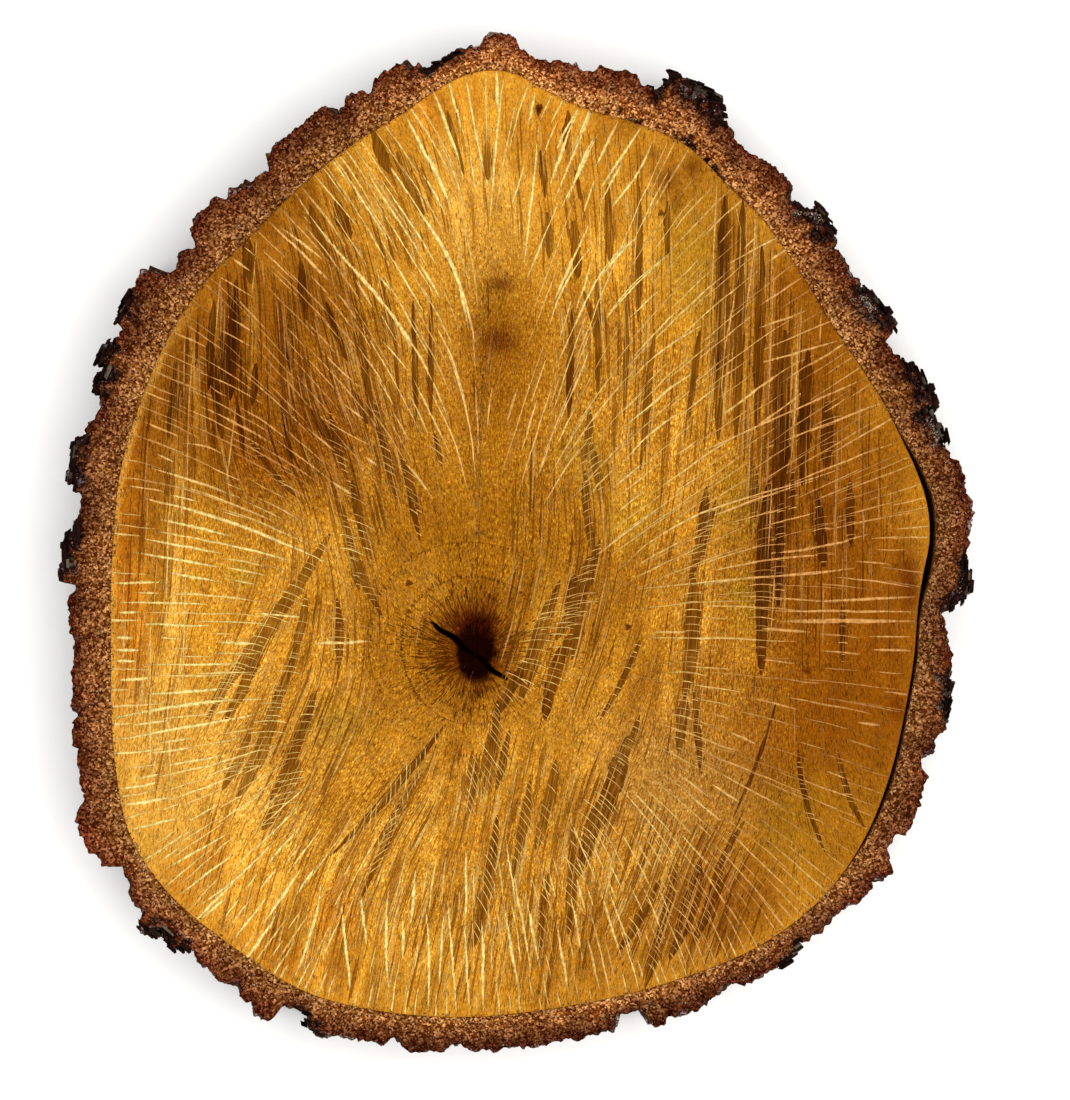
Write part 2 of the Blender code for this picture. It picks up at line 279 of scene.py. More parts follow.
# The tone of the wood from place to place: a few broad soft stains over a pale rim and a brown
# heart, as one sees them before looking at the grain
woodTones = {
    "gold": "#E7A034",
    "paleGold": "#F2B350",
    "honey": "#CE8A28",
    "amber": "#BE7C24",
    "olive": "#A66813",
    "brown": "#8A4A05",
    "deepBrown": "#6E3702",
    "redBrown": "#5E1E02",
    "orange": "#CC7212",
    "pinkTan": "#B98038",
    "moss": "#9A8A20",
    "pith": "#1C0400",
    "warmStraw": "#F7B566",
    "paleStraw": "#FFE78C",
}
tones = {name: linear(colour) / photo["overExposure"] for name, colour in woodTones.items()}
heartToRim = [(0.0, "olive"), (0.25, "olive"), (0.5, "amber"), (0.8, "honey"), (1.0, "honey")]
stains = [
    # (what it is, pixel across, pixel down, half width, half height, lean in degrees, tone, strength)
    ("nose of the rim", 490, 110, 100, 70, 0, "gold", 0.9),
    ("pale middle of the top", 478, 225, 55, 95, 0, "paleGold", 0.55),
    ("top left sapwood", 375, 170, 70, 60, 30, "honey", 0.7),
    ("orange left of the nose", 426, 112, 26, 26, 30, "orange", 0.5),
    ("orange right of the nose", 562, 140, 45, 30, -15, "orange", 0.45),
    ("orange in the nose", 470, 100, 18, 22, 0, "orange", 0.3),
    ("top left brown edge", 282, 212, 70, 32, 35, "brown", 0.75),
    ("upper left rim brown", 143, 440, 28, 120, 5, "brown", 0.85),
    ("upper left rim red", 138, 430, 22, 110, 6, "redBrown", 0.34),
    ("brown beside the top left fan", 335, 315, 60, 50, -30, "brown", 0.45),
    ("top right sapwood", 600, 165, 60, 70, 0, "honey", 0.7),
    ("upper left brown", 225, 335, 110, 125, -35, "brown", 0.95),
    ("upper left deep", 230, 400, 75, 66, -30, "deepBrown", 0.6),
    ("left of the middle", 296, 440, 98, 74, 20, "brown", 0.9),
    ("left rim gold", 160, 640, 85, 150, 0, "honey", 0.75),
    ("left rim orange", 128, 600, 22, 160, 0, "orange", 0.7),
    ("left gold", 205, 640, 60, 100, 0, "gold", 0.4),
    ("lower left gold", 185, 790, 90, 110, 30, "paleGold", 0.95),
    ("bottom left gold", 270, 895, 120, 80, -25, "gold", 0.95),
    ("bottom rim gold", 430, 960, 150, 60, 0, "honey", 0.8),
    ("orange along the lower left rim", 190, 880, 24, 60, -42, "orange", 0.4),
    ("orange along the bottom left rim", 275, 955, 60, 22, -25, "orange", 0.45),
    ("bottom left orange", 341, 914, 24, 36, 0, "orange", 0.6),
    ("left heart", 335, 650, 60, 120, 0, "amber", 0.6),
    ("ground of the left strips", 262, 640, 62, 95, 30, "gold", 0.55),
    ("below the pith", 470, 770, 120, 80, 0, "amber", 0.7),
    ("above the pith", 470, 540, 125, 90, 0, "olive", 0.85),
    ("knot shade", 505, 320, 52, 70, 0, "olive", 0.85),
    ("below the knot shade", 505, 405, 60, 60, 0, "olive", 0.8),
    ("upper middle gold", 420, 320, 38, 90, 15, "honey", 0.8),
    ("right of the middle gold", 655, 470, 80, 100, 0, "honey", 0.45),
    ("top right blotch", 680, 172, 38, 30, -35, "brown", 0.6),
    ("top right mottle", 668, 180, 8, 8, 0, "redBrown", 0.65),
    ("top right second mottle", 691, 168, 8, 9, 0, "redBrown", 0.65),
    ("top right third mottle", 678, 202, 6, 15, 0, "redBrown", 0.6),
    ("top right fourth mottle", 654, 153, 6, 5, 0, "redBrown", 0.6),
    ("right orange patch", 695, 400, 26, 46, 0, "honey", 0.85),
    ("right dark band", 746, 270, 40, 100, 4, "deepBrown", 0.42),
    ("right upper brown", 815, 340, 66, 100, -20, "brown", 0.85),
    ("right side brown", 815, 500, 85, 130, 0, "brown", 0.9),
    ("right side deep", 772, 530, 30, 120, 0, "deepBrown", 0.5),
    ("right rim amber", 893, 470, 36, 70, 0, "olive", 0.85),
    ("right lower", 830, 690, 85, 100, 0, "brown", 0.9),
    ("right rim", 884, 630, 50, 200, 6, "brown", 0.85),
    ("right rim dark spot", 909, 582, 12, 34, 4, "redBrown", 0.9),
    ("right rim second dark spot", 897, 708, 9, 15, 6, "redBrown", 0.8),
    ("right rim low dark spot", 893, 650, 7, 30, 8, "redBrown", 0.5),
    ("lower right brown", 770, 778, 88, 76, 0, "brown", 0.88),
    ("right side shade", 848, 670, 66, 190, 8, "brown", 0.75),
    ("left rim brown", 140, 525, 24, 46, 0, "brown", 0.5),
    ("ground above the left strips", 322, 548, 46, 50, 0, "gold", 0.6),
    ("shade below the knot", 478, 385, 56, 50, 0, "brown", 0.35),
    ("shade round the knot", 462, 342, 84, 32, 0, "brown", 0.22),
    ("gold left of the pith", 428, 592, 26, 36, 0, "gold", 0.25),
    ("gold below the left strips", 322, 768, 36, 36, 0, "gold", 0.35),
    ("gold at the bottom rim", 384, 945, 42, 30, 0, "gold", 0.5),
    ("gold at the bottom left rim", 262, 934, 34, 26, -30, "gold", 0.4),
    ("gold below the pith", 500, 765, 34, 40, 0, "gold", 0.25),
    ("bottom right rim shade", 600, 945, 80, 42, 8, "brown", 0.42),
    ("top right rim shade", 622, 122, 44, 15, 28, "brown", 0.5),
    ("upper left shade", 235, 430, 60, 60, -20, "brown", 0.5),
    ("shade beside the fan", 320, 285, 40, 40, -30, "brown", 0.4),
    ("right upper rim brown", 798, 276, 26, 44, -35, "brown", 0.9),
    ("upper left block", 234, 335, 13, 62, 0, "deepBrown", 0.55),
    ("upper left pale band", 252, 322, 5, 78, 0, "honey", 0.5),
    ("upper left pale band by the rim", 196, 404, 5, 98, 3, "honey", 0.5),
    ("upper left short pale band", 214, 322, 5, 42, 8, "honey", 0.45),
    ("upper left low pale band", 226, 455, 5, 52, 3, "honey", 0.4),
    ("top right first band", 723, 246, 8, 60, 0, "deepBrown", 0.6),
    ("top right second band", 718, 355, 10, 24, 0, "deepBrown", 0.6),
    ("right third band", 778, 435, 12, 54, 0, "deepBrown", 0.6),
    ("right fourth band", 808, 420, 9, 28, 0, "deepBrown", 0.5),
    ("right fifth band", 832, 430, 6, 24, 0, "deepBrown", 0.5),
    ("right pale band", 760, 330, 5, 120, 0, "honey", 0.45),
    ("right pale band further out", 794, 400, 5, 90, 2, "honey", 0.45),
    ("right low band", 773, 560, 12, 44, 0, "deepBrown", 0.6),
    ("right low second band", 819, 523, 7, 46, 0, "deepBrown", 0.6),
    ("top olive band", 609, 200, 5, 36, 0, "brown", 0.4),
    ("top gold between the bands", 590, 228, 50, 60, 0, "gold", 0.9),
    ("ground of the centre strips", 556, 680, 52, 95, 20, "gold", 0.5),
    ("bottom middle gold", 440, 830, 130, 85, 0, "gold", 0.5),
    ("bottom gold right of the middle", 640, 872, 46, 30, 0, "gold", 0.6),
    ("moss by the right bands", 738, 498, 26, 34, 0, "moss", 0.22),
    ("moss right of the middle", 628, 520, 34, 32, 0, "moss", 0.2),
    ("moss above the centre", 586, 462, 26, 28, 0, "moss", 0.18),
    ("moss on the left", 241, 573, 17, 12, 0, "moss", 0.35),
    ("moss left of the pith", 338, 726, 32, 26, 0, "moss", 0.22),
    ("moss below the right bands", 742, 600, 22, 26, 0, "moss", 0.22),
    ("moss at the lower right", 800, 830, 50, 50, 30, "moss", 0.25),
    ("left rim pale band", 176, 600, 8, 130, 0, "paleGold", 0.5),
    ("lower right pink", 670, 790, 75, 80, -20, "pinkTan", 0.85),
    ("bottom right brown", 724, 904, 74, 52, 35, "brown", 0.85),
    ("right low rim", 845, 830, 64, 60, 40, "olive", 0.8),
    ("bottom right rim", 640, 985, 110, 30, 8, "amber", 0.6),
    ("moss at the upper right", 690, 262, 26, 62, 0, "moss", 0.25),
    ("knot shade upper spot", 501, 284, 15, 8, 0, "redBrown", 0.75),
    ("knot shade lower spot", 497, 338, 20, 13, 0, "redBrown", 0.85),
    ("knot shade brown", 492, 330, 28, 34, 0, "deepBrown", 0.3),
    ("halo of the pith", 474, 645, 44, 56, 0, "deepBrown", 0.75),
    ("red rim of the pith", 478, 640, 30, 42, 0, "redBrown", 1.0),
]
spots = [
    # small knots and pin marks, written the same way, which are a piece of their own
    ("knot by the nose", 539, 109, 4.5, 8, 8, "redBrown", 1.0),
    ("spot right of the pith", 628, 627, 4, 4, 0, "redBrown", 0.9),
    ("spot left of the pith", 409, 583, 5, 4, 0, "redBrown", 0.9),
    ("spot under the nose blotch", 661, 213, 4, 4, 0, "redBrown", 0.8),
    ("spot on the right", 807, 671, 6, 4, 20, "redBrown", 0.7),
]


shades = {
    "wander": ((14 * mm, 3.5 * mm, 5), (5 * mm, 1.2 * mm, 7)),  # the stains' edges: size, reach, seed
    "smallStain": 40,  # pixels: the edges of stains narrower than this wander less
    "corePixel": (476, 648),  # the black core of the pith, with its half size in pixels
    "coreHalf": (21, 35),
    "coreEdge": (0.8, 1.15),  # where it starts to fade and where it ends, in its own half sizes
    "rimLight": 0.45,  # a pale line inside the rim, strongest towards the left
    "rimLightFrom": (0.982, 0.99),
    "rimLightToward": 185,  # degrees
    "ringStep": 4.6 * mm,
    "ringDepth": 0.06,
    "ringsFade": (0.35, 0.7),
    "mottle": ((7 * mm, 0.08, 9), (3 * mm, 0.08, 10)),  # size, depth, seed
    "pressed": (0.36, 0.24, 0.08),  # what is left of red, green and blue where the saw pressed hard
}


def stainShare(away, halfWidth, halfHeight, lean):
    # exp(-d^2.6), d the distance in the stain's own half sizes, turned by its lean
    a = math.radians(lean)
    across = (away[..., 0] * math.cos(a) + away[..., 1] * math.sin(a)) / halfWidth
    along = (-away[..., 0] * math.sin(a) + away[..., 1] * math.cos(a)) / halfHeight
    return np.exp(-((across**2 + along**2) ** 1.3))


def woodTone(xy):
    # Linear RGB: the heart-to-rim run, then each stain mixed over it by strength * its share,
    # with places wandering a little
    _, s = rayPlace(xy)
    run = np.array([tones[name] for _, name in heartToRim])
    tone = np.stack([np.interp(s, [at for at, _ in heartToRim], run[:, i]) for i in range(3)], axis=-1)
    wander = sum(sway(xy, size, seed) * far for size, far, seed in shades["wander"])
    for _, u, v, halfWidth, halfHeight, lean, name, strength in stains:
        moved = wander * min(1, halfWidth / shades["smallStain"])
        away = (xy + moved - fromPhoto((u, v))) / pixel
        tone = mix(tone, tones[name], strength * stainShare(away, halfWidth, halfHeight, lean))
    core = (xy - fromPhoto(shades["corePixel"])) / pixel / shades["coreHalf"]
    core = np.linalg.norm(core, axis=-1) * (1 + 0.12 * flatLumps(xy, 2.5 * mm, 12))
    core = core + 0.08 * flatLumps(xy, 1 * mm, 13)
    tone = mix(tone, tones["pith"], 1 - smooth(core, *shades["coreEdge"]))
    westward = np.cos(np.arctan2(xy[..., 1], xy[..., 0]) - math.radians(shades["rimLightToward"]))
    rimLight = shades["rimLight"] * smooth(s, *shades["rimLightFrom"]) * smooth(westward, 0.7, 0.9)
    tone = mix(tone, tones["paleGold"], rimLight)
    ringTurns = turn * np.hypot(*(xy - pith).T).T / shades["ringStep"]
    rings = np.sin(ringTurns + 2 * flatLumps(xy, 9 * mm, 11)) * (1 - smooth(s, *shades["ringsFade"]))
    mottle = 1 + sum(depth * flatLumps(xy, size, seed) for size, depth, seed in shades["mottle"])
    return tone * ((1 + shades["ringDepth"] * rings) * mottle)[..., None]


def darkened(tone, amount):
    # Wood that the saw pressed and burnished: tone * (1 - amount * (1 - pressed))
    return tone * (1 - np.asarray(amount)[..., None] * (1 - np.array(shades["pressed"])))


def paled(tone, amount):
    # Towards straw by amount, a warmer straw where the wood is brown
    bright = smooth(tone[..., :1], 0.18, 0.5)
    straw = tones["warmStraw"] * (1 - bright) + tones["paleStraw"] * bright
    return mix(tone, straw, amount)


# The marks of the chainsaw
sawStrips = {
    "stations": 40,
    "lift": 0.05 * mm,
    "scratchStations": 7,
    "scratchLift": 0.07 * mm,
    "smears": ((1.7 * mm, 1.5 * mm, 4, 2.6), (3.6 * mm, 4 * mm, 3, 2.2)),  # size, step, places, spread
    "blend": 9 * mm,  # how far a strip's direction spreads into the wood round it
    # (from pixel, to pixel, half width in pixels, bow in pixels)
    "listed": [
        ((330, 534), (211, 702), 7, 4), ((341, 502), (383, 618), 5, -6), ((348, 533), (359, 590), 4, 0),
        ((337, 598), (339, 668), 5, 1), ((306, 594), (292, 662), 4, 2), ((300, 640), (262, 730), 5, 2),
        ((262, 640), (225, 720), 6, 3), ((280, 690), (236, 800), 8, 4), ((316, 690), (270, 800), 6, 3),
        ((300, 760), (262, 830), 7, 3), ((250, 730), (222, 790), 5, 2), ((240, 660), (205, 720), 4, 2),
        ((590, 556), (556, 640), 7, 3), ((600, 540), (572, 660), 5, -3),
        ((575, 575), (578, 640), 7, -6), ((573, 630), (545, 720), 7, -5),
        ((548, 600), (520, 700), 8, 2), ((525, 660), (492, 720), 6, 2), ((560, 580), (540, 640), 4, 0),
        ((585, 470), (594, 560), 4, -2), ((603, 500), (590, 440), 4, 0), ((707, 486), (690, 580), 6, 3),
        ((693, 575), (685, 700), 8, 3), ((686, 690), (679, 752), 6, 0), ((694, 690), (701, 775), 4, 0),
        ((716, 500), (702, 560), 3, 0), ((640, 640), (600, 720), 3, 2), ((628, 736), (590, 840), 9, 3),
        ((640, 715), (612, 780), 4, 2), ((600, 800), (575, 880), 8, 2), ((573, 830), (568, 935), 6, 2),
        ((556, 760), (536, 850), 6, 2), ((498, 700), (483, 800), 5, 2), ((497, 815), (473, 948), 6, 3),
        ((476, 757), (468, 815), 5, 0), ((510, 730), (496, 790), 4, 0), ((530, 780), (512, 880), 5, 2),
        ((548, 870), (540, 950), 4, 0), ((446, 724), (330, 856), 4, 4), ((420, 770), (372, 850), 3, 2),
        ((400, 800), (360, 900), 3, 2), ((660, 880), (620, 950), 5, 2), ((678, 860), (645, 988), 5, 2),
        ((700, 860), (670, 960), 7, 3), ((725, 850), (690, 950), 5, 3), ((769, 480), (761, 675), 8, -2),
        ((782, 493), (778, 610), 5, 0), ((757, 470), (754, 523), 3, 0), ((793, 470), (793, 519), 3, 0),
        ((818, 497), (824, 567), 6, 0), ((850, 480), (851, 545), 5, 0), ((843, 601), (843, 664), 3, 0),
        ((725, 195), (718, 440), 7, 0), ((743, 200), (736, 440), 6, 0), ((762, 245), (757, 430), 6, 0),
        ((785, 330), (781, 500), 9, 0), ((808, 350), (802, 486), 7, 0), ((828, 400), (827, 470), 7, 0),
        ((700, 330), (688, 420), 4, 0), ((655, 330), (640, 470), 4, 0), ((628, 284), (624, 420), 3, 0),
        ((608, 184), (610, 262), 5, 0), ((668, 201), (668, 254), 4, 0), ((639, 186), (638, 322), 4, 0),
        ((540, 150), (545, 198), 4, 1), ((547, 212), (549, 258), 5, 0), ((574, 220), (578, 278), 6, 0),
        ((597, 277), (598, 398), 4, 0), ((572, 307), (569, 420), 4, 0), ((431, 300), (431, 417), 3, 0),
        ((413, 300), (416, 420), 3, 0), ((568, 110), (566, 150), 4, 0), ((575, 170), (581, 200), 3, 0),
        ((583, 290), (596, 340), 3, 2), ((590, 410), (582, 466), 4, 2), ((372, 130), (390, 174), 6, 0),
        ((398, 150), (424, 215), 6, -3), ((447, 110), (464, 175), 3, 0), ((487, 140), (488, 180), 4, 0),
        ((336, 200), (350, 240), 7, 0), ((310, 205), (330, 260), 5, -2), ((246, 236), (251, 284), 6, 0),
        ((300, 260), (306, 320), 5, 0), ((288, 325), (291, 370), 5, 0), ((256, 363), (252, 406), 4, 0),
        ((326, 302), (350, 363), 4, -2), ((354, 330), (362, 366), 3, 0), ((310, 408), (338, 455), 5, 0),
        ((352, 390), (368, 424), 4, 0), ((401, 455), (420, 514), 4, 0), ((434, 433), (442, 467), 3, 0),
        ((381, 280), (398, 352), 4, 0), ((212, 350), (222, 440), 5, 0), ((236, 280), (230, 400), 6, 0),
        ((236, 396), (244, 456), 3, 0), ((281, 400), (292, 460), 3, 0), ((214, 300), (208, 390), 4, 0),
        ((222, 330), (226, 420), 4, 0), ((175, 360), (168, 440), 3, 0), ((330, 410), (352, 490), 3, -3),
        ((360, 330), (372, 420), 4, 0), ((375, 400), (398, 500), 4, -2), ((404, 470), (420, 540), 3, 0),
        ((352, 480), (372, 560), 4, -3), ((250, 440), (300, 500), 3, -3),
        ((798, 750), (825, 852), 3, -5), ((838, 750), (865, 828), 3, -5),
        ((776, 703), (733, 818), 2, 3), ((715, 870), (745, 820), 3, 0),
    ],
    # (pixel, degrees that the marks lean to the right of straight up there)
    "guides": [
        ((150, 560), 2), ((150, 700), 3), ((190, 500), 4), ((120, 640), 2), ((150, 420), 6),
        ((170, 800), 8), ((230, 900), 14), ((890, 520), 0), ((880, 640), 2), ((860, 740), -5),
        ((450, 620), 12), ((470, 560), 5), ((430, 700), 15), ((480, 250), -2), ((480, 400), 0),
        ((520, 480), 3), ((640, 560), 12), ((740, 640), 3), ((620, 680), 20), ((200, 620), 10),
        ((180, 680), 10), ((480, 130), 0), ((520, 320), 0), ((860, 600), 0), ((800, 700), -4),
        ((700, 720), 12), ((350, 950), 10), ((560, 980), 6), ((260, 560), 12), ((410, 560), -8),
        ((440, 480), -8),
    ],
    # pale ridges left standing between two strips
    "paleLines": [
        ((717, 180), (711, 310)), ((732, 192), (740, 221), (732, 311), (727, 425)),
        ((774, 266), (768, 417)), ((751, 180), (755, 231), (746, 311), (743, 335)),
        ((798, 319), (797, 364), (791, 466)), ((821, 315), (820, 343)),
        ((602, 180), (600, 282), (605, 364)), ((639, 192), (634, 278)), ((257, 237), (252, 294)),
        ((195, 335), (189, 400), (188, 502)), ((236, 404), (226, 486)), ((220, 278), (216, 330)),
        ((168, 500), (166, 640)), ((186, 560), (182, 700)), ((150, 620), (150, 780)),
        ((166, 690), (172, 800)), ((772, 480), (768, 560)), ((776, 560), (770, 640)),
        ((750, 430), (748, 500)),
    ],
}
streakZones = [
    # (where, pixel across, pixel down, half width, half height, how many, widest and longest in pixels)
    ("upper left", 225, 370, 85, 110, 200, 2.0, 70),
    ("upper middle left", 345, 400, 65, 150, 300, 2.2, 60),
    ("top left fan", 350, 210, 90, 70, 90, 2.0, 60),
    ("top", 490, 150, 90, 80, 80, 1.6, 60),
    ("top right", 610, 240, 70, 120, 120, 1.8, 70),
    ("right of the middle", 650, 420, 60, 100, 90, 1.4, 70),
    ("right bands", 760, 330, 55, 140, 150, 2.0, 110),
    ("right side", 820, 500, 75, 120, 120, 1.8, 80),
    ("centre", 560, 580, 60, 130, 130, 2.0, 70),
    ("left strips", 290, 680, 80, 140, 160, 1.8, 70),
    ("left rim", 155, 600, 40, 190, 70, 2.2, 120),
    ("bottom fan", 500, 850, 170, 100, 400, 2.4, 60),
    ("bottom rim", 420, 950, 170, 50, 180, 1.8, 70),
    ("bottom right", 690, 900, 70, 70, 170, 2.4, 70),
    ("middle right", 660, 640, 90, 120, 70, 1.4, 70),
    ("lower left", 270, 860, 90, 80, 150, 1.6, 60),
    ("everywhere", 516, 560, 390, 440, 600, 1.0, 45),
]


def curve(start, end, bow, t):
    # start + t (end - start) + bow * 4 t (1 - t) to the left of the way
    way = end - start
    swing = (4 * t * (1 - t))[None, :, None] * bow[:, None, None] * unit(leftOf(way))[:, None, :]
    return start[:, None, :] + t[None, :, None] * way[:, None, :] + swing


def throughPoints(pixels, count):
    # x and y as polynomials of the share of the way, of third degree at most, least squares
    points = fromPhoto(pixels)
    run = np.concatenate([[0], np.cumsum(np.linalg.norm(np.diff(points, axis=0), axis=1))])
    fit = np.polyfit(run / run[-1], points, min(len(points) - 1, 3))
    return np.stack([np.polyval(fit[:, i], np.linspace(0, 1, count)) for i in range(2)], axis=-1)


stripT = np.linspace(0, 1, sawStrips["stations"])
starts, ends, halves, bows = zip(*sawStrips["listed"])
stripStart, stripEnd = fromPhoto(starts), fromPhoto(ends)
stripHalf = np.array(halves) * pixel
stripPaths = curve(stripStart, stripEnd, np.array(bows) * pixel, stripT)
stripWays = unit(stripStart - stripEnd)
stripWays *= np.where(stripWays[:, 1:] < 0, -1, 1)
guidePixels, guideLeans = zip(*sawStrips["guides"])
guideWays = np.stack([np.sin(np.radians(guideLeans)), np.cos(np.radians(guideLeans))], axis=1)
sawPlaces = np.concatenate([stripPaths[:, len(stripT) // 2], fromPhoto(guidePixels)])
sawWays = np.concatenate([stripWays, guideWays])


def sawWay(xy):
    # The direction of the saw's marks: the mean of the directions at the strips' middles and the
    # guides, each weighed by 1 / (distance ^ 2 + blend ^ 2) ^ 2
    total = np.zeros(xy.shape)
    for place, way in zip(sawPlaces, sawWays):
        away = ((xy - place) ** 2).sum(axis=-1) + sawStrips["blend"] ** 2
        total += (away / sawStrips["blend"] ** 2)[..., None] ** -2 * way
    return unit(total)


def followSaw(middle, length, stations):
    # Half the length each way from the middle, in even steps along the saw's marks
    step = (length / (stations - 1))[:, None]
    halves = []
    for sign in (1, -1):
        at, line = middle, []
        for _ in range((stations - 1) // 2):
            at = at + sign * step * sawWay(at)
            line.append(at)
        halves.append(line)
    return np.stack(halves[1][::-1] + [middle] + halves[0], axis=1)


def sawStreaks(xy):
    # Noise smeared along the saw's marks, about -1 to 1: lumps of a small and a larger size, each
    # summed over so many places before and behind, a step apart, and shared out by its spread
    way = sawWay(xy)
    total = np.zeros(xy.shape[:-1])
    for seed, (size, step, places, spread) in enumerate(sawStrips["smears"], 15):
        for k in range(-places, places + 1):
            total += 0.55 / spread * flatLumps(xy + k * step * way, size, seed)
    return total


def zoneShare(xy):
    # 1 in the middle of the zones that the saw streaked, 0 far from all of them
    shares = []
    for name, u, v, halfWidth, halfHeight, *_ in streakZones:
        away = (xy - fromPhoto((u, v))) / pixel
        shares.append(stainShare(away, 1.1 * halfWidth, 1.1 * halfHeight, 0) * (name != "everywhere"))
    return np.max(shares, axis=0)


# Meshes
def addMesh(name, points, quads=None, triangles=None, attributes=None, sharpAngle=None):
    mesh = bpy.data.meshes.new(name)
    faces = [] if quads is None else [quads.reshape(-1, 4)]
    faces += [] if triangles is None else [triangles.reshape(-1, 3)]
    corners = np.concatenate([f.ravel() for f in faces]).astype(np.int32)
    counts = np.concatenate([np.full(len(f), f.shape[1]) for f in faces]).astype(np.int32)
    mesh.vertices.add(len(points))
    mesh.vertices.foreach_set("co", points.astype(np.float32).ravel())
    mesh.loops.add(len(corners))
    mesh.loops.foreach_set("vertex_index", corners)
    mesh.polygons.add(len(counts))
    mesh.polygons.foreach_set("loop_start", np.concatenate([[0], np.cumsum(counts)[:-1]]).astype(np.int32))
    mesh.update(calc_edges=True)
    mesh.validate()
    for key, (kind, values) in (attributes or {}).items():
        layer = mesh.attributes.new(key, kind, "POINT")
        field = {"FLOAT_COLOR": "color", "FLOAT_VECTOR": "vector", "FLOAT": "value"}[kind]
        layer.data.foreach_set(field, values.astype(np.float32).ravel())
    mesh.shade_smooth()
    if sharpAngle:
        mesh.set_sharp_from_angle(angle=math.radians(sharpAngle))
    made = bpy.data.objects.new(name, mesh)
    bpy.context.scene.collection.objects.link(made)
    return made


def gridQuads(rows, columns, closedRows=False):
    # Quads of a grid whose columns run round and meet, row by row
    down = np.arange(rows if closedRows else rows - 1)[:, None]
    across = np.arange(columns)[None, :]
    under, beside = (down + 1) % rows, (across + 1) % columns
    corners = [down * columns + across, down * columns + beside]
    corners += [under * columns + beside, under * columns + across]
    return np.stack(np.broadcast_arrays(*corners), axis=-1)


def toneLayer(colours, grain=1.0):
    # The colour of each point, with the strength of the material's own grain there as its alpha
    colours = np.clip(colours.reshape(-1, 3), 0, 1)
    grain = np.broadcast_to(grain, len(colours))[:, None]
    return {"tone": ("FLOAT_COLOR", np.concatenate([colours, grain], axis=-1))}


# The wood: a disc on the grid of rays and rings, with its hollow pith and its drying crack
wood = {
    "columns": 800,
    "topRows": 100,
    "wallRows": 5,
    "bottomRows": 14,
    "sunk": 0.3 * mm,  # the sawn face lies this far under the solid's, so that rays stay inside it
    "relief": 0.14 * mm,
    "hollowHalf": (4.6 * mm, 6.2 * mm),
    "hollowDepth": 4.2 * mm,
    "crackPixels": ((433, 623), (505, 679)),
    "crackHalf": 1.05 * mm,
    "crackDepth": 5.0 * mm,
    "crackWave": 0.35 * mm,
    "rimRound": 0.15 * mm,
    "streaking": 0.42,
    "calmRim": 0.5,  # how much weaker the fuzz is near the rim
    "fuzzLeans": (-18, 4, 32),  # degrees: three fixed ways of the fuzz, mixed to follow the saw
}


def hollowShare(xy):
    # 1 in the middle of the pith's hollow, 0 at its ragged edge and outside
    away = (xy - pith) / wood["hollowHalf"]
    ragged = 0.16 * flatLumps(xy, 2.2 * mm, 21) + 0.08 * flatLumps(xy, 0.9 * mm, 22)
    return np.sqrt(np.clip(1 - (away**2).sum(axis=-1) * (1 + ragged) ** 2, 0, 1))


def crackShare(xy):
    # 1 on the crack's middle line, 0 at its sides: half width * sin(pi t) ** 0.2 along it
    start, end = fromPhoto(wood["crackPixels"])
    length = np.linalg.norm(end - start)
    along = (end - start) / length
    t = np.clip((xy - start) @ along / length, 0, 1)
    side = (xy - start) @ leftOf(along) + wood["crackWave"] * np.sin(t * 17)
    return np.clip(1 - np.abs(side) / (wood["crackHalf"] * np.sin(np.pi * t) ** 0.2 + 1e-6), 0, 1)


def faceDrop(xy, seed=30):
    # How far the sawn surface lies under the level of the face
    relief = 0.5 + 0.35 * flatLumps(xy, 11 * mm, seed) + 0.15 * flatLumps(xy, 5 * mm, seed + 1)
    return wood["sunk"] + wood["relief"] * relief + wood["hollowDepth"] * hollowShare(xy)


def fuzzShares(xy):
    # How much of each fixed way of the fuzz: straight between the nearest two leans
    way = sawWay(xy)
    lean = np.degrees(np.arctan2(way[..., 0], way[..., 1]))
    leans = wood["fuzzLeans"]
    return np.stack([np.interp(lean, leans, row) for row in np.eye(3)], axis=-1)


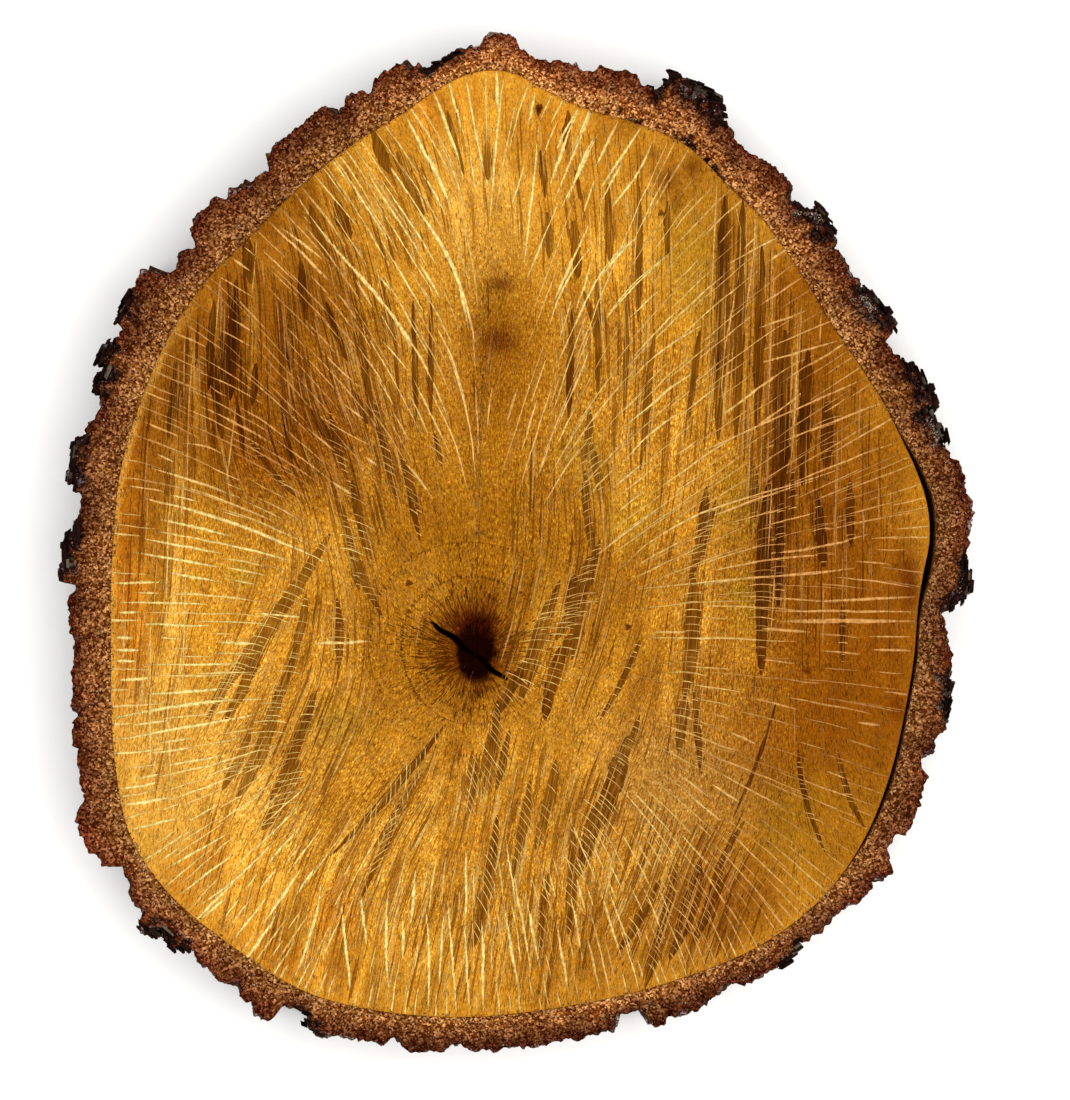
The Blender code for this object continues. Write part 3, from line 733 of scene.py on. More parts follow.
def buildWood():
    columns = (np.arange(wood["columns"]) + 0.5) / wood["columns"]
    inset = 1 - wood["rimRound"] / meanReach
    topRings = inset * (np.arange(1, wood["topRows"] + 1) / wood["topRows"]) ** 1.15
    bottomRings = inset * (np.arange(wood["bottomRows"], 0, -1) / wood["bottomRows"]) ** 2
    c, s = np.meshgrid(columns, topRings)
    topXY = rayPoint(c, s)
    crack = wood["crackDepth"] * crackShare(topXY)
    topZ = high[2] - faceDrop(topXY) - np.maximum(crack - wood["hollowDepth"] * hollowShare(topXY), 0)
    wallC, wallLevel = np.meshgrid(columns, np.linspace(1, 0, wood["wallRows"]))
    wallXY = rayPoint(wallC, 1.0)
    wallZ = low[2] + wood["rimRound"] + wallLevel * (thickness - wood["sunk"] - 3.2 * wood["rimRound"])
    bottomC, bottomS = np.meshgrid(columns, bottomRings)
    bottomXY = rayPoint(bottomC, bottomS)
    bottomZ = low[2] + faceDrop(bottomXY, 60) - wood["sunk"]
    xy = np.concatenate([topXY, wallXY, bottomXY])
    z = np.concatenate([topZ, wallZ, bottomZ])
    points = np.concatenate([xy, z[..., None]], axis=-1).reshape(-1, 3)
    poleZ = (high[2] - wood["sunk"] - wood["hollowDepth"], low[2] + wood["hollowDepth"])
    points = np.concatenate([points, [[*pith, z] for z in poleZ]])
    here = np.arange(wood["columns"])
    beside = (here + 1) % wood["columns"]
    lastRow = (len(xy) - 1) * wood["columns"]
    topFan = np.stack([0 * here + len(points) - 2, here, beside], axis=1)
    bottomFan = np.stack([0 * here + len(points) - 1, lastRow + beside, lastRow + here], axis=1)
    flat = points[:, :2]
    streaks = wood["streaking"] * sawStreaks(flat) * (0.25 + 0.75 * zoneShare(flat))
    tone = woodTone(flat) * np.exp(streaks[:, None] * (1.0, 1.35, 2.2))
    shadow = np.zeros(len(points))
    shadow[: crack.size] = smooth(crack, 0.05 * mm, 1.1 * mm).ravel()
    tone = mix(tone, tones["pith"] * 0.3, shadow)
    attributes = toneLayer(tone, 1 - wood["calmRim"] * smooth(rayPlace(flat)[1], 0.66, 0.9))
    attributes["fuzz"] = ("FLOAT_VECTOR", fuzzShares(flat))
    quads = gridQuads(len(xy), wood["columns"])[..., ::-1]  # turned, because the rows run outwards
    return addMesh("sawn_wood", points, quads, np.concatenate([topFan, bottomFan]), attributes, 50)


# Profiles carried along paths, for the rays and the saw's marks
slim = [(-1, -0.35), (0, 1), (1, -0.35)]
flatTopped = [(-1, -1), (-0.9, 1), (0.9, 1), (1, -1)]


def carryProfile(name, paths, left, right, profile, lift, tone):
    # paths: (n, m, 2). Each section point stands at path + across * share * reach, where reach is
    # left for a share under 0 and right for one over it, and at the height of the sawn face +
    # its rise * lift. The last point of a section joins the first.
    ahead = unit(np.gradient(paths, axis=1))
    across = leftOf(ahead)
    share, rise = np.array(profile).T
    out = np.where(share < 0, left[..., None], right[..., None]) * share
    xy = paths[:, :, None, :] + across[:, :, None, :] * out[..., None]
    z = high[2] - faceDrop(paths)[..., None] + rise * lift[..., None]
    points = np.concatenate([xy, z[..., None]], axis=-1)
    n, m, p = points.shape[:3]
    index = np.arange(n * m * p).reshape(n, m, p)
    following = np.roll(index, -1, axis=2)
    walls = np.stack([index[:, :-1], index[:, 1:], following[:, 1:], following[:, :-1]], axis=-1)
    ends = []
    for k in range(1, p - 1):
        ends.append(np.stack([index[:, 0, 0], index[:, 0, k], index[:, 0, k + 1]], axis=-1))
        ends.append(np.stack([index[:, -1, 0], index[:, -1, k + 1], index[:, -1, k]], axis=-1))
    tone = np.broadcast_to(tone[:, :, None, :], points.shape)
    return addMesh(name, points.reshape(-1, 3), walls, np.concatenate(ends), toneLayer(tone))


def buildStrips():
    # Half width = half * sin(pi t) ** 0.5, torn at the edges by lumps of 5 and 0.9 mm
    rng = np.random.default_rng(3)
    n = len(stripPaths)
    taper = np.sin(np.pi * (0.004 + 0.992 * stripT)) ** 0.5
    edges = []
    for side in range(2):
        where = stripPaths + np.arange(n)[:, None, None] * 0.05 + side * 0.71
        torn = 1 + 0.3 * flatLumps(where, 5 * mm, 41 + side)
        torn += 0.2 * flatLumps(where, 0.9 * mm, 43 + side)
        edges.append(np.maximum(stripHalf[:, None] * taper * torn, 0.05 * mm))
    amount = rng.uniform(0.75, 1.0, n)[:, None] + 0.12 * flatLumps(stripPaths, 3 * mm, 45)
    tone = darkened(woodTone(stripPaths), amount)
    lift = np.full(amount.shape, sawStrips["lift"])
    return carryProfile("saw_strips", stripPaths, *edges, flatTopped, lift, tone)


def buildStreaks():
    # Thin dark scratches in zones and along the strips, and the pale ridges between them
    rng = np.random.default_rng(4)
    middles, halves, lengths, amounts = [], [], [], []
    for _, u, v, halfWidth, halfHeight, count, widest, longest in streakZones:
        radius, angle = np.sqrt(rng.uniform(0, 1, count)), rng.uniform(0, turn, count)
        around = heading(angle) * (halfWidth, halfHeight)
        middles.append(fromPhoto(np.array((u, v)) + radius[:, None] * around))
        halves.append(rng.uniform(0.25, 1, count) ** 1.5 * widest * pixel)
        lengths.append(rng.uniform(0.35, 1, count) * longest * pixel)
        amounts.append(np.where(rng.uniform(0, 1, count) < 0.72, 1, -1) * rng.uniform(0.3, 0.9, count))
    for path, half in zip(stripPaths, stripHalf):
        count = int(5 + half / (0.35 * mm))
        at = rng.integers(2, len(path) - 2, count)
        side = unit(leftOf(path[at + 1] - path[at]))
        middles.append(path[at] + side * rng.normal(0, 0.8, (count, 1)) * half)
        halves.append(rng.uniform(0.25, 0.8, count) * pixel)
        lengths.append(rng.uniform(0.2, 0.7, count) * np.linalg.norm(path[-1] - path[0]))
        amounts.append(np.where(rng.uniform(0, 1, count) < 0.6, 1, -0.6) * rng.uniform(0.5, 1, count))
    middle = np.concatenate(middles)
    kept = (rayPlace(middle)[1] < 0.96) & (np.linalg.norm(middle - pith, axis=1) > 9 * mm)
    half, length, amount = (np.concatenate(part)[kept] for part in (halves, lengths, amounts))
    m = sawStrips["scratchStations"]
    paths = followSaw(middle[kept], length, m)
    lines = np.array([throughPoints(pixels, m) for pixels in sawStrips["paleLines"]])
    paths = np.concatenate([paths, lines])
    half = np.concatenate([half, rng.uniform(1.0, 1.6, len(lines)) * pixel])
    amount = np.concatenate([amount, np.full(len(lines), -1.3)])
    inside = rayPlace(paths)[1]
    taper = np.sin(np.pi * np.linspace(0.03, 0.97, m)) ** 0.7 * smooth(0.999 - inside, 0, 0.02)
    wavy = half[:, None] * taper * (1 + 0.4 * flatLumps(paths, 1.3 * mm, 47)) + 0.01 * mm
    tone = woodTone(paths)
    amount = amount[:, None] * np.ones(m)
    dark, pale = darkened(tone, np.maximum(amount, 0)), paled(tone, -0.45 * amount)
    tone = np.where(amount[..., None] > 0, dark, pale)
    lift = sawStrips["scratchLift"] + rng.uniform(0, 0.02 * mm, len(wavy))[:, None] * np.ones(m)
    return carryProfile("saw_scratches", paths, wavy, wavy, slim, lift, tone)


def insideStrips(xy, grow=1.0):
    # Whether each point lies within grow * half width of a strip's middle line
    inside = np.zeros(len(xy), bool)
    for path, half in zip(stripPaths, stripHalf):
        way = path[-1] - path[0]
        t = (xy - path[0]) @ way / (way @ way)
        middle = np.stack([np.interp(t, stripT, path[:, i]) for i in range(2)], axis=-1)
        inside |= (np.linalg.norm(xy - middle, axis=1) < grow * half) & (t > 0) & (t < 1)
    return inside


# The broad rays: pale ribs that run in from the rim, and the rungs where one crosses a strip
rays = {
    "seed": 7,
    "count": 1150,
    "stations": 9,
    "half": (0.2 * mm, 0.46 * mm),
    "boldHalf": (0.36 * mm, 0.66 * mm),
    "wander": 0.22 * mm,
    "length": (8 * mm, 34 * mm),
    "lift": 0.11 * mm,
    "faintCount": 700,
    "rungEvery": 2.2 * mm,
    "rungLeast": 2.9 * pixel,  # strips of less half width have none,
    "rungTop": 32 * mm,  # nor have those further up the slice
    "rungHalf": (0.18, 0.34),  # mm
    "rungLonger": (0.6, 3.2),  # 1 + a random number of this mean, up to this, times the strip's width
    "apart": (2.2 * mm, 9 * mm),  # no two middles are nearer than this, sideways and lengthways
    "bare": [(490, 212, 34, 46), (500, 318, 44, 88)],  # pixel across and down, half width and height
    "look": [
        # (degrees round the slice, how many there are, how pale they are, how far in they start)
        (0, 0.8, 0.65, 0.4), (30, 1.0, 0.6, 0.45), (60, 0.8, 0.7, 0.4), (90, 0.8, 0.95, 0.45),
        (120, 1.0, 1.0, 0.45), (150, 1.1, 0.6, 0.5), (180, 1.0, 0.95, 0.6), (215, 1.0, 0.85, 0.6),
        (245, 1.2, 1.0, 0.6), (270, 1.1, 0.9, 0.55), (300, 1.1, 0.65, 0.55), (330, 0.5, 0.45, 0.5),
    ],
    # (degrees round the slice, how many times wider they are there)
    "wider": [
        (0, 1.0), (60, 1.1), (90, 1.35), (110, 1.3), (140, 1.0), (180, 1.2), (200, 1.4), (280, 1.25),
        (310, 1.0),
    ],
    # the boldest ones, by pixels of the photo
    "left": [
        ((143, 498), (243, 527), (324, 562)), ((159, 519), (231, 536)), ((143, 539), (222, 553)),
        ((133, 552), (220, 567)), ((167, 573), (218, 582)), ((112, 583), (161, 582)),
        ((118, 602), (208, 604)), ((118, 612), (139, 612)), ((141, 624), (210, 626)),
        ((115, 637), (133, 638)), ((115, 650), (141, 650)), ((115, 661), (137, 661)),
        ((145, 665), (251, 664)), ((217, 642), (263, 644)), ((259, 613), (304, 617)),
        ((118, 680), (151, 678)), ((145, 694), (227, 689)), ((114, 718), (194, 704), (265, 699)),
        ((114, 740), (194, 726), (259, 714)), ((314, 643), (369, 642)), ((143, 498), (190, 510)),
    ],
    "lowerLeft": [
        ((119, 789), (160, 782)), ((124, 805), (171, 798)), ((131, 830), (178, 818)),
        ((167, 869), (230, 832)), ((180, 894), (239, 850)), ((201, 905), (240, 875), (276, 839)),
        ((201, 919), (226, 898)), ((233, 941), (271, 891)),
    ],
    "top": [
        ((433, 91), (454, 145), (464, 179)), ((448, 81), (464, 136)),
        ((465, 71), (475, 129), (487, 186)), ((404, 113), (422, 147), (450, 202)),
        ((372, 140), (404, 189), (436, 234), (459, 283), (475, 365)), ((312, 172), (356, 225)),
        ((294, 191), (335, 248), (386, 308), (413, 352)), ((496, 71), (499, 115)),
        ((539, 127), (533, 182), (524, 264)), ((597, 136), (562, 207)), ((622, 163), (601, 202)),
        ((588, 225), (553, 303)), ((633, 237), (601, 273), (576, 322), (553, 370)),
        ((270, 222), (330, 280)), ((577, 110), (556, 150)), ((643, 124), (600, 190)),
        ((430, 226), (452, 266), (468, 328)), ((430, 154), (442, 187), (451, 206)),
        ((535, 94), (528, 125)), ((578, 109), (563, 149), (549, 187)), ((618, 121), (595, 168)),
        ((595, 137), (576, 176), (568, 201)), ((654, 139), (637, 173), (606, 214)),
        ((595, 242), (573, 271), (549, 326)), ((666, 256), (635, 283), (604, 321)),
        ((659, 290), (628, 319)),
    ],
    "bottom": [
        ((340, 897), (344, 933), (351, 994)), ((361, 894), (366, 944)),
        ((389, 883), (386, 944), (389, 994)), ((403, 917), (403, 961)),
        ((425, 905), (429, 961), (428, 1011)), ((447, 900), (451, 944), (456, 1011)),
        ((464, 922), (469, 1011)), ((481, 905), (483, 956), (483, 1011)),
        ((504, 905), (511, 950), (518, 989)), ((525, 894), (539, 967)), ((556, 922), (569, 994)),
        ((569, 883), (583, 961)), ((321, 883), (311, 933), (294, 978)),
        ((278, 911), (261, 939), (239, 967)), ((233, 883), (194, 922)), ((300, 870), (262, 925)),
        ((415, 870), (411, 930)), ((600, 890), (622, 960)), ((640, 880), (668, 945)),
    ],
    "upperLeft": [
        ((303, 216), (334, 247), (379, 298), (414, 347), (448, 418)),
        ((269, 222), (293, 245), (328, 280)), ((281, 227), (322, 259)), ((242, 245), (257, 257)),
        ((232, 258), (252, 273)), ((218, 276), (254, 298)), ((320, 349), (340, 369), (361, 388)),
        ((383, 341), (408, 371)), ((379, 276), (393, 292)), ((226, 315), (254, 333)),
        ((216, 328), (252, 347)), ((173, 332), (206, 347)), ((195, 370), (232, 387), (263, 404)),
        ((208, 385), (218, 393), (230, 398)), ((201, 407), (232, 421), (271, 443)),
        ((183, 443), (199, 445), (226, 456)), ((152, 468), (191, 480), (240, 498)),
        ((157, 454), (175, 462)), ((310, 410), (340, 429), (373, 447)), ((308, 429), (340, 456)),
        ((365, 457), (379, 467)), ((399, 458), (416, 476), (432, 498)), ((328, 480), (355, 496)),
        ((344, 404), (367, 422)),
    ],
    "upperRight": [
        ((604, 321), (641, 280), (667, 255)), ((600, 278), (612, 262), (641, 233)),
        ((627, 384), (661, 351), (708, 323)), ((624, 429), (651, 404), (696, 370)),
        ((620, 466), (649, 435), (682, 411)), ((716, 247), (735, 225)), ((741, 251), (759, 235)),
        ((767, 262), (790, 247)), ((753, 311), (804, 276)), ((751, 331), (806, 311)),
        ((749, 366), (837, 341)), ((702, 425), (743, 400), (784, 370), (814, 355)),
        ((743, 437), (808, 388)), ((767, 492), (824, 470), (871, 451), (896, 443)),
    ],
    "right": [
        ((854, 464), (806, 481), (739, 500), (620, 569)), ((798, 504), (731, 523)),
        ((822, 511), (754, 529)), ((869, 534), (841, 542), (761, 554)),
        ((837, 554), (761, 561), (713, 571)), ((863, 308), (745, 357)),
        ((854, 569), (759, 577), (635, 589)), ((915, 597), (815, 602)), ((915, 612), (772, 611)),
        ((915, 621), (787, 620)), ((911, 637), (869, 636)), ((811, 632), (754, 627)),
        ((789, 231), (720, 268)), ((796, 642), (741, 639), (646, 638)), ((694, 632), (653, 632)),
        ((911, 651), (872, 649)), ((757, 659), (794, 664)), ((870, 376), (700, 452)),
        ((884, 402), (760, 450)), ((700, 521), (763, 497), (817, 480)),
        ((700, 586), (761, 577), (830, 572), (856, 568)), ((780, 621), (843, 622), (908, 621)),
        ((756, 629), (804, 630)), ((750, 697), (800, 710)), ((858, 723), (880, 726)),
        ((730, 732), (756, 744)), ((711, 784), (743, 805)), ((826, 771), (850, 780)),
    ],
}


def keepApart(places, ways, many, taken):
    # Goes through the places in turn and keeps those that are clear of all kept before
    kept = []
    sideways, lengthways = rays["apart"]
    for i, (place, way) in enumerate(zip(places, ways)):
        away = np.concatenate([places[kept], taken]) - place
        beside = np.abs(away[:, 0] * way[1] - away[:, 1] * way[0]) > sideways / many[i]
        if np.all(beside | (np.abs(away @ way) > lengthways)):
            kept.append(i)
    return kept


def buildRays():
    # Bold ones through their pixels, then random ones about ring s of ray c, spread evenly and
    # kept off the bare places: half width = width * sin(pi t) ** 0.6
    rng = np.random.default_rng(rays["seed"])
    m = rays["stations"]
    sides = ("left", "lowerLeft", "bottom", "top", "upperLeft", "upperRight", "right")
    bold = [throughPoints(line, m) for side in sides for line in rays[side]]
    c, s, ground = scatter(rng, 9 * rays["count"], 0.16, 0.98)
    place = rayPoint(c, s)
    degrees = np.degrees(np.arctan2(place[:, 1], place[:, 0])) % 360
    look = np.array(rays["look"])
    many, pale, innermost = (np.interp(degrees, look[:, 0], look[:, i], period=360) for i in (1, 2, 3))
    chance = np.minimum(ground, 1) ** 1.5
    kept = np.flatnonzero((rng.uniform(0, 1, len(c)) < chance) & (s > innermost))
    c, s, pale, place, many = c[kept], s[kept], pale[kept], place[kept], many[kept]
    boldMiddles = np.array([line[at] for line in bold for at in (1, 3, 5, 7)])
    kept = keepApart(place, unit(rayPoint(c, s + 0.01) - place), many, boldMiddles)[: rays["count"]]
    c, s, pale = c[kept], s[kept], pale[kept]
    covered = np.zeros(len(c), bool)
    for u, v, halfWidth, halfHeight in rays["bare"]:
        away = (rayPoint(c, s) - fromPhoto((u, v))) / (halfWidth * pixel, halfHeight * pixel)
        covered |= np.linalg.norm(away, axis=-1) < 1
    c, s, pale = c[~covered], s[~covered], pale[~covered]
    shortest, longest = rays["length"]
    length = rng.uniform(0, 1, len(c)) ** 1.6 * (longest - shortest) + shortest
    reachS = s[:, None] + (np.linspace(0, 1, m) - 0.5) * (length / meanReach)[:, None]
    paths = np.concatenate([bold, rayPoint(c[:, None], np.clip(reachS, 0.1, 0.997))])
    width = [rng.uniform(*rays["boldHalf"], len(bold)), rng.uniform(*rays["half"], len(c))]
    shade = np.concatenate([np.full(len(bold), 1.0), pale * rng.uniform(0.4, 1.15, len(c))])
    boldDegrees = np.degrees(np.arctan2(*paths[: len(bold), m // 2].T[::-1])) % 360
    shade[: len(bold)] = 0.25 + 0.75 * np.interp(boldDegrees, look[:, 0], look[:, 2], period=360)
    t = np.linspace(0.03, 0.97, m)
    middle = np.degrees(np.arctan2(paths[:, m // 2, 1], paths[:, m // 2, 0])) % 360
    width = np.concatenate(width) * np.interp(middle, *zip(*rays["wider"]), period=360)
    half = width[:, None] * np.sin(np.pi * t) ** 0.6
    inside = smooth(0.99 - rayPlace(paths)[1], 0, 0.02)
    paths = paths + rays["wander"] * sway(paths, 5 * mm, 52) * inside[..., None]
    lift = rays["lift"] * np.sin(np.pi * t) * np.ones((len(paths), 1))
    amount = shade[:, None] * (0.75 + 0.25 * np.sin(np.pi * t))
    tone = paled(woodTone(paths), np.clip(amount, 0, 1))
    return carryProfile("broad_rays", paths, half, half, slim, lift, tone)


def buildFaintRays():
    # Fine ones between the pith and the broad ones, hardly paler than the wood
    rng = np.random.default_rng(rays["seed"] + 2)
    c, s, ground = scatter(rng, 3 * rays["faintCount"], 0.02, 0.5)
    kept = rng.uniform(0, 1, len(c)) < np.minimum(ground, 1) ** 1.5
    c, s = c[kept][: rays["faintCount"]], s[kept][: rays["faintCount"]]
    t = np.linspace(-0.5, 0.5, 5)
    reachS = np.clip(s[:, None] + t * rng.uniform(3, 14, len(c))[:, None] * mm / meanReach, 0.09, 0.9)
    paths = rayPoint(c[:, None], reachS)
    half = rng.uniform(0.08, 0.16, len(c))[:, None] * mm * np.cos(np.pi * 0.9 * t)
    tone = paled(woodTone(paths), rng.uniform(0.12, 0.4, len(c))[:, None] * np.ones(5))
    return carryProfile("faint_rays", paths, half, half, slim, np.full(half.shape, 0.09 * mm), tone)


def buildRungs():
    # Rays that cross a strip at nearly even steps along it, from as long as the strip is wide to
    # three times that: middle + t * span + (1 - t^2) * bow, t from -1 to 1
    rng = np.random.default_rng(rays["seed"] + 1)
    stripC, stripS = rayPlace(stripPaths)
    places, spans, bows, sizes = [], [], [], []
    for path, half, c, s in zip(stripPaths, stripHalf, stripC, stripS):
        stripWay = path[-1] - path[0]
        count = int(np.linalg.norm(stripWay) / rays["rungEvery"])
        if half < rays["rungLeast"] or count < 2 or path[:, 1].mean() > rays["rungTop"]:
            continue
        at = (np.arange(count) + 0.5 + rng.uniform(-0.3, 0.3, count)) / count * (len(path) - 1)
        found = np.interp(at, np.arange(len(c)), np.unwrap(c, period=1))
        sAt = np.interp(at, np.arange(len(s)), s)
        rayWay = unit(rayPoint(found, sAt + 0.01) - rayPoint(found, sAt))
        stripWay = unit(stripWay)
        across = leftOf(stripWay)
        way = unit(rayWay * np.where(rayWay @ across < 0, -1, 1)[:, None] + 0.6 * across)
        narrower = np.sin(np.pi * (0.02 + 0.96 * at / (len(path) - 1))) ** 0.7
        meanExtra, most = rays["rungLonger"]
        longer = np.minimum(1 + rng.exponential(meanExtra, count), most)
        span = half * narrower * longer / np.maximum(way @ across, 0.35)
        middle = np.stack([np.interp(at, np.arange(len(path)), path[:, i]) for i in range(2)], axis=-1)
        keep = (rng.uniform(0, 1, count) < 0.85) & (sAt < 0.95)
        places.append(middle[keep])
        spans.append((way * span[:, None])[keep])
        bows.append((stripWay * np.sign(stripWay[1]) * 0.12 * span[:, None])[keep])
        sizes.append(rng.uniform(*rays["rungHalf"], keep.sum()) * mm)
    places, spans, bows, sizes = (np.concatenate(part) for part in (places, spans, bows, sizes))
    t = np.linspace(-1, 1, 5)
    paths = places[:, None] + t[:, None] * spans[:, None] + (1 - t[:, None] ** 2) * bows[:, None]
    half = sizes[:, None] * np.cos(np.pi * 0.42 * t) ** 0.5
    shade = rng.uniform(0.25, 0.9, len(sizes))[:, None] * np.ones(5)
    tone = paled(woodTone(paths), shade)
    return carryProfile("ray_rungs", paths, half, half, slim, np.full(half.shape, 0.1 * mm), tone)


# Round the pith: dark dashes that point away from it, and a dotted ring of larger pores
pithMarks = {
    "seed": 9,
    "dashes": 760,
    "ringRadii": ((11.5 * mm, 60), (16.5 * mm, 90), (21.8 * mm, 190), (31 * mm, 110)),
    "arcs": ((21.6 * mm, 95, 285), (17.6 * mm, 110, 250), (31.5 * mm, 60, 200), (21.9 * mm, 20, 85)),
    "arcPiece": 9,  # degrees: an arc is drawn as short dashes of this length
    "stations": 6,
}


def buildPithMarks():
    rng = np.random.default_rng(pithMarks["seed"])
    n = pithMarks["dashes"]
    radius = [rng.gamma(2.4, 3.0, n) * mm + 6.4 * mm]
    length = [rng.uniform(1.0, 4.2, n) * mm]
    half = [rng.uniform(0.13, 0.26, n) * mm]
    amount = [rng.uniform(0.5, 1.1, n)]
    for ring, count in pithMarks["ringRadii"]:
        radius.append(rng.normal(ring, 0.25 * mm, count))
        length.append(rng.uniform(0.5, 1.2, count) * mm)
        half.append(rng.uniform(0.15, 0.3, count) * mm)
        amount.append(rng.uniform(0.6, 1.1, count))
    radius, length, half, amount = (np.concatenate(part) for part in (radius, length, half, amount))
    psi = np.where(rng.uniform(0, 1, len(radius)) < 0.35, rng.uniform(1.2, 3.8, len(radius)), 0)
    psi = np.where(psi > 0, psi, rng.uniform(0, turn, len(radius)))
    m = pithMarks["stations"]
    t = np.linspace(-0.5, 0.5, m)
    out = radius[:, None] + t * length[:, None]
    psi = np.repeat(psi[:, None], m, axis=1)
    for ring, start, end in pithMarks["arcs"]:
        pieces = int((end - start) / pithMarks["arcPiece"])
        turns = start + (np.arange(pieces)[:, None] + 0.5 + t) * pithMarks["arcPiece"]
        out = np.concatenate([out, ring + 0.3 * mm * np.sin(np.radians(2.5 * turns))])
        psi = np.concatenate([psi, np.radians(turns)])
        half = np.append(half, rng.uniform(0.1, 0.18, pieces) * mm)
        amount = np.append(amount, rng.uniform(0.4, 0.8, pieces))
    oval = 1 + 0.07 * np.sin(psi) + 0.03 * np.sin(3 * psi + 1)
    paths = pith + (out * oval)[..., None] * heading(psi)
    clear = crackShare(paths).max(axis=1) == 0
    paths, half, amount = paths[clear], half[clear], amount[clear]
    amount = np.minimum(amount[:, None] * np.ones(m), 1)
    tone = mix(woodTone(paths), tones["redBrown"] * 0.6, 0.9 * amount)
    half = half[:, None] * np.cos(np.pi * 0.85 * t) * (1 + 0.3 * flatLumps(paths, 0.7 * mm, 51))
    return carryProfile("pith_dashes", paths, half, half, slim, np.full(half.shape, 0.08 * mm), tone)


def buildSpots():
    # Small knots and pin marks: low caps, cos^2 of the distance, with wavy rims
    rim, rings, capHeight = 18, 4, 0.09 * mm
    angle = np.arange(rim) * turn / rim
    share = np.arange(rings, 0, -1) / rings
    points, quads, triangles, colours = [], [], [], []
    for number, (_, u, v, halfWidth, halfHeight, lean, name, strength) in enumerate(spots):
        a = math.radians(-lean)
        wavy = 1 + 0.18 * np.sin(3 * angle + number) + 0.1 * np.sin(7 * angle + 2 * number)
        flat = heading(angle) * (halfWidth, halfHeight) * wavy[:, None]
        flat = flat @ np.array([[math.cos(a), math.sin(a)], [-math.sin(a), math.cos(a)]]) * pixel
        place = fromPhoto((u, v))
        ringXY = place + share[:, None, None] * flat
        rise = capHeight * np.cos(share * np.pi / 2) - np.where(share == 1, 0.1 * mm, 0)
        z = high[2] - faceDrop(ringXY) + rise[:, None]
        cap = np.concatenate([ringXY, z[..., None]], axis=-1).reshape(-1, 3)
        middle = np.append(place, high[2] - faceDrop(place[None])[0] + capHeight)
        foot = middle - (0, 0, 0.4 * mm)
        start = sum(len(part) for part in points)
        here = np.arange(rim)
        beside = (here + 1) % rim
        last = (rings - 1) * rim
        quads.append(gridQuads(rings, rim).reshape(-1, 4) + start)
        top, under = start + rings * rim, start + rings * rim + 1
        triangles.append(np.stack([here * 0 + top, start + last + here, start + last + beside], axis=1))
        triangles.append(np.stack([here * 0 + under, start + beside, start + here], axis=1))
        points.append(np.concatenate([cap, [middle, foot]]))
        base = woodTone(points[-1][:, :2])
        amount = strength * np.append(1 - 0.75 * np.repeat(share, rim) ** 3, [1, 1])
        colours.append(mix(base, tones[name] * 0.7, amount))
    points, quads, triangles, colours = map(np.concatenate, (points, quads, triangles, colours))
    return addMesh("small_knots", points, quads, triangles, toneLayer(colours))


# Torn fibres: the fuzz that the saw leaves, slivers lying along its marks, or along the rays
# close to the pith
fibres = {
    "seed": 12,
    "count": 42000,
    "length": (0.8 * mm, 2.4 * mm),
    "half": (0.06 * mm, 0.13 * mm),
    "rise": (0.03 * mm, -0.05 * mm, 0.12 * mm, -0.05 * mm),  # its two ends and two sides
}


def buildFibres():
    # Each is a flat four-cornered solid: base -+ way * length / 2 and base -+ side * half
    rng = np.random.default_rng(fibres["seed"])
    c, s, ground = scatter(rng, fibres["count"], 0.006, 0.985)
    kept = rng.uniform(0, 1, len(c)) < 0.2 + ground
    c, s = c[kept], s[kept]
    base = rayPoint(c, s)
    outside = ~insideStrips(base, 0.9) & (crackShare(base) == 0)
    c, s, base = c[outside], s[outside], base[outside]
    n = len(c)
    radial = unit(rayPoint(c, np.minimum(s + 0.01, 1)) - rayPoint(c, s - 0.01))
    saw = sawWay(base)
    near = (1 - smooth(s, 0.12, 0.3)) + 0.25 * (rng.uniform(0, 1, n) < 0.3)
    near = np.clip(near, 0, 1)[:, None]
    radial *= np.where((radial * saw).sum(axis=1, keepdims=True) < 0, -1, 1)
    way = unit(near * radial + (1 - near) * saw)
    swing = rng.normal(0, 0.16, n)
    way = way * np.cos(swing)[:, None] + leftOf(way) * np.sin(swing)[:, None]
    side = leftOf(way)
    length = rng.uniform(*fibres["length"], n)[:, None]
    half = rng.uniform(*fibres["half"], n)[:, None]
    corners = [base - way * length / 2, base + side * half, base + way * length / 2, base - side * half]
    height = (high[2] - faceDrop(base))[:, None] + fibres["rise"]
    points = np.concatenate([np.stack(corners, axis=1), height[..., None]], axis=-1)
    index = np.arange(4 * n).reshape(n, 4)
    sides = [index[:, [0, 2, 1]], index[:, [0, 3, 2]], index[:, [0, 1, 3]], index[:, [2, 3, 1]]]
    tone = woodTone(base)
    amount = rng.uniform(0, 1, n)
    light = paled(tone, rng.uniform(0.2, 0.75, n) * smooth(s, 0.05, 0.2))
    tone = np.where(amount[:, None] < 0.52, darkened(tone, rng.uniform(0.15, 0.5, n)), light)
    attributes = toneLayer(np.repeat(tone, 4, axis=0))
    return addMesh("torn_fibres", points.reshape(-1, 3), None, np.concatenate(sides), attributes)


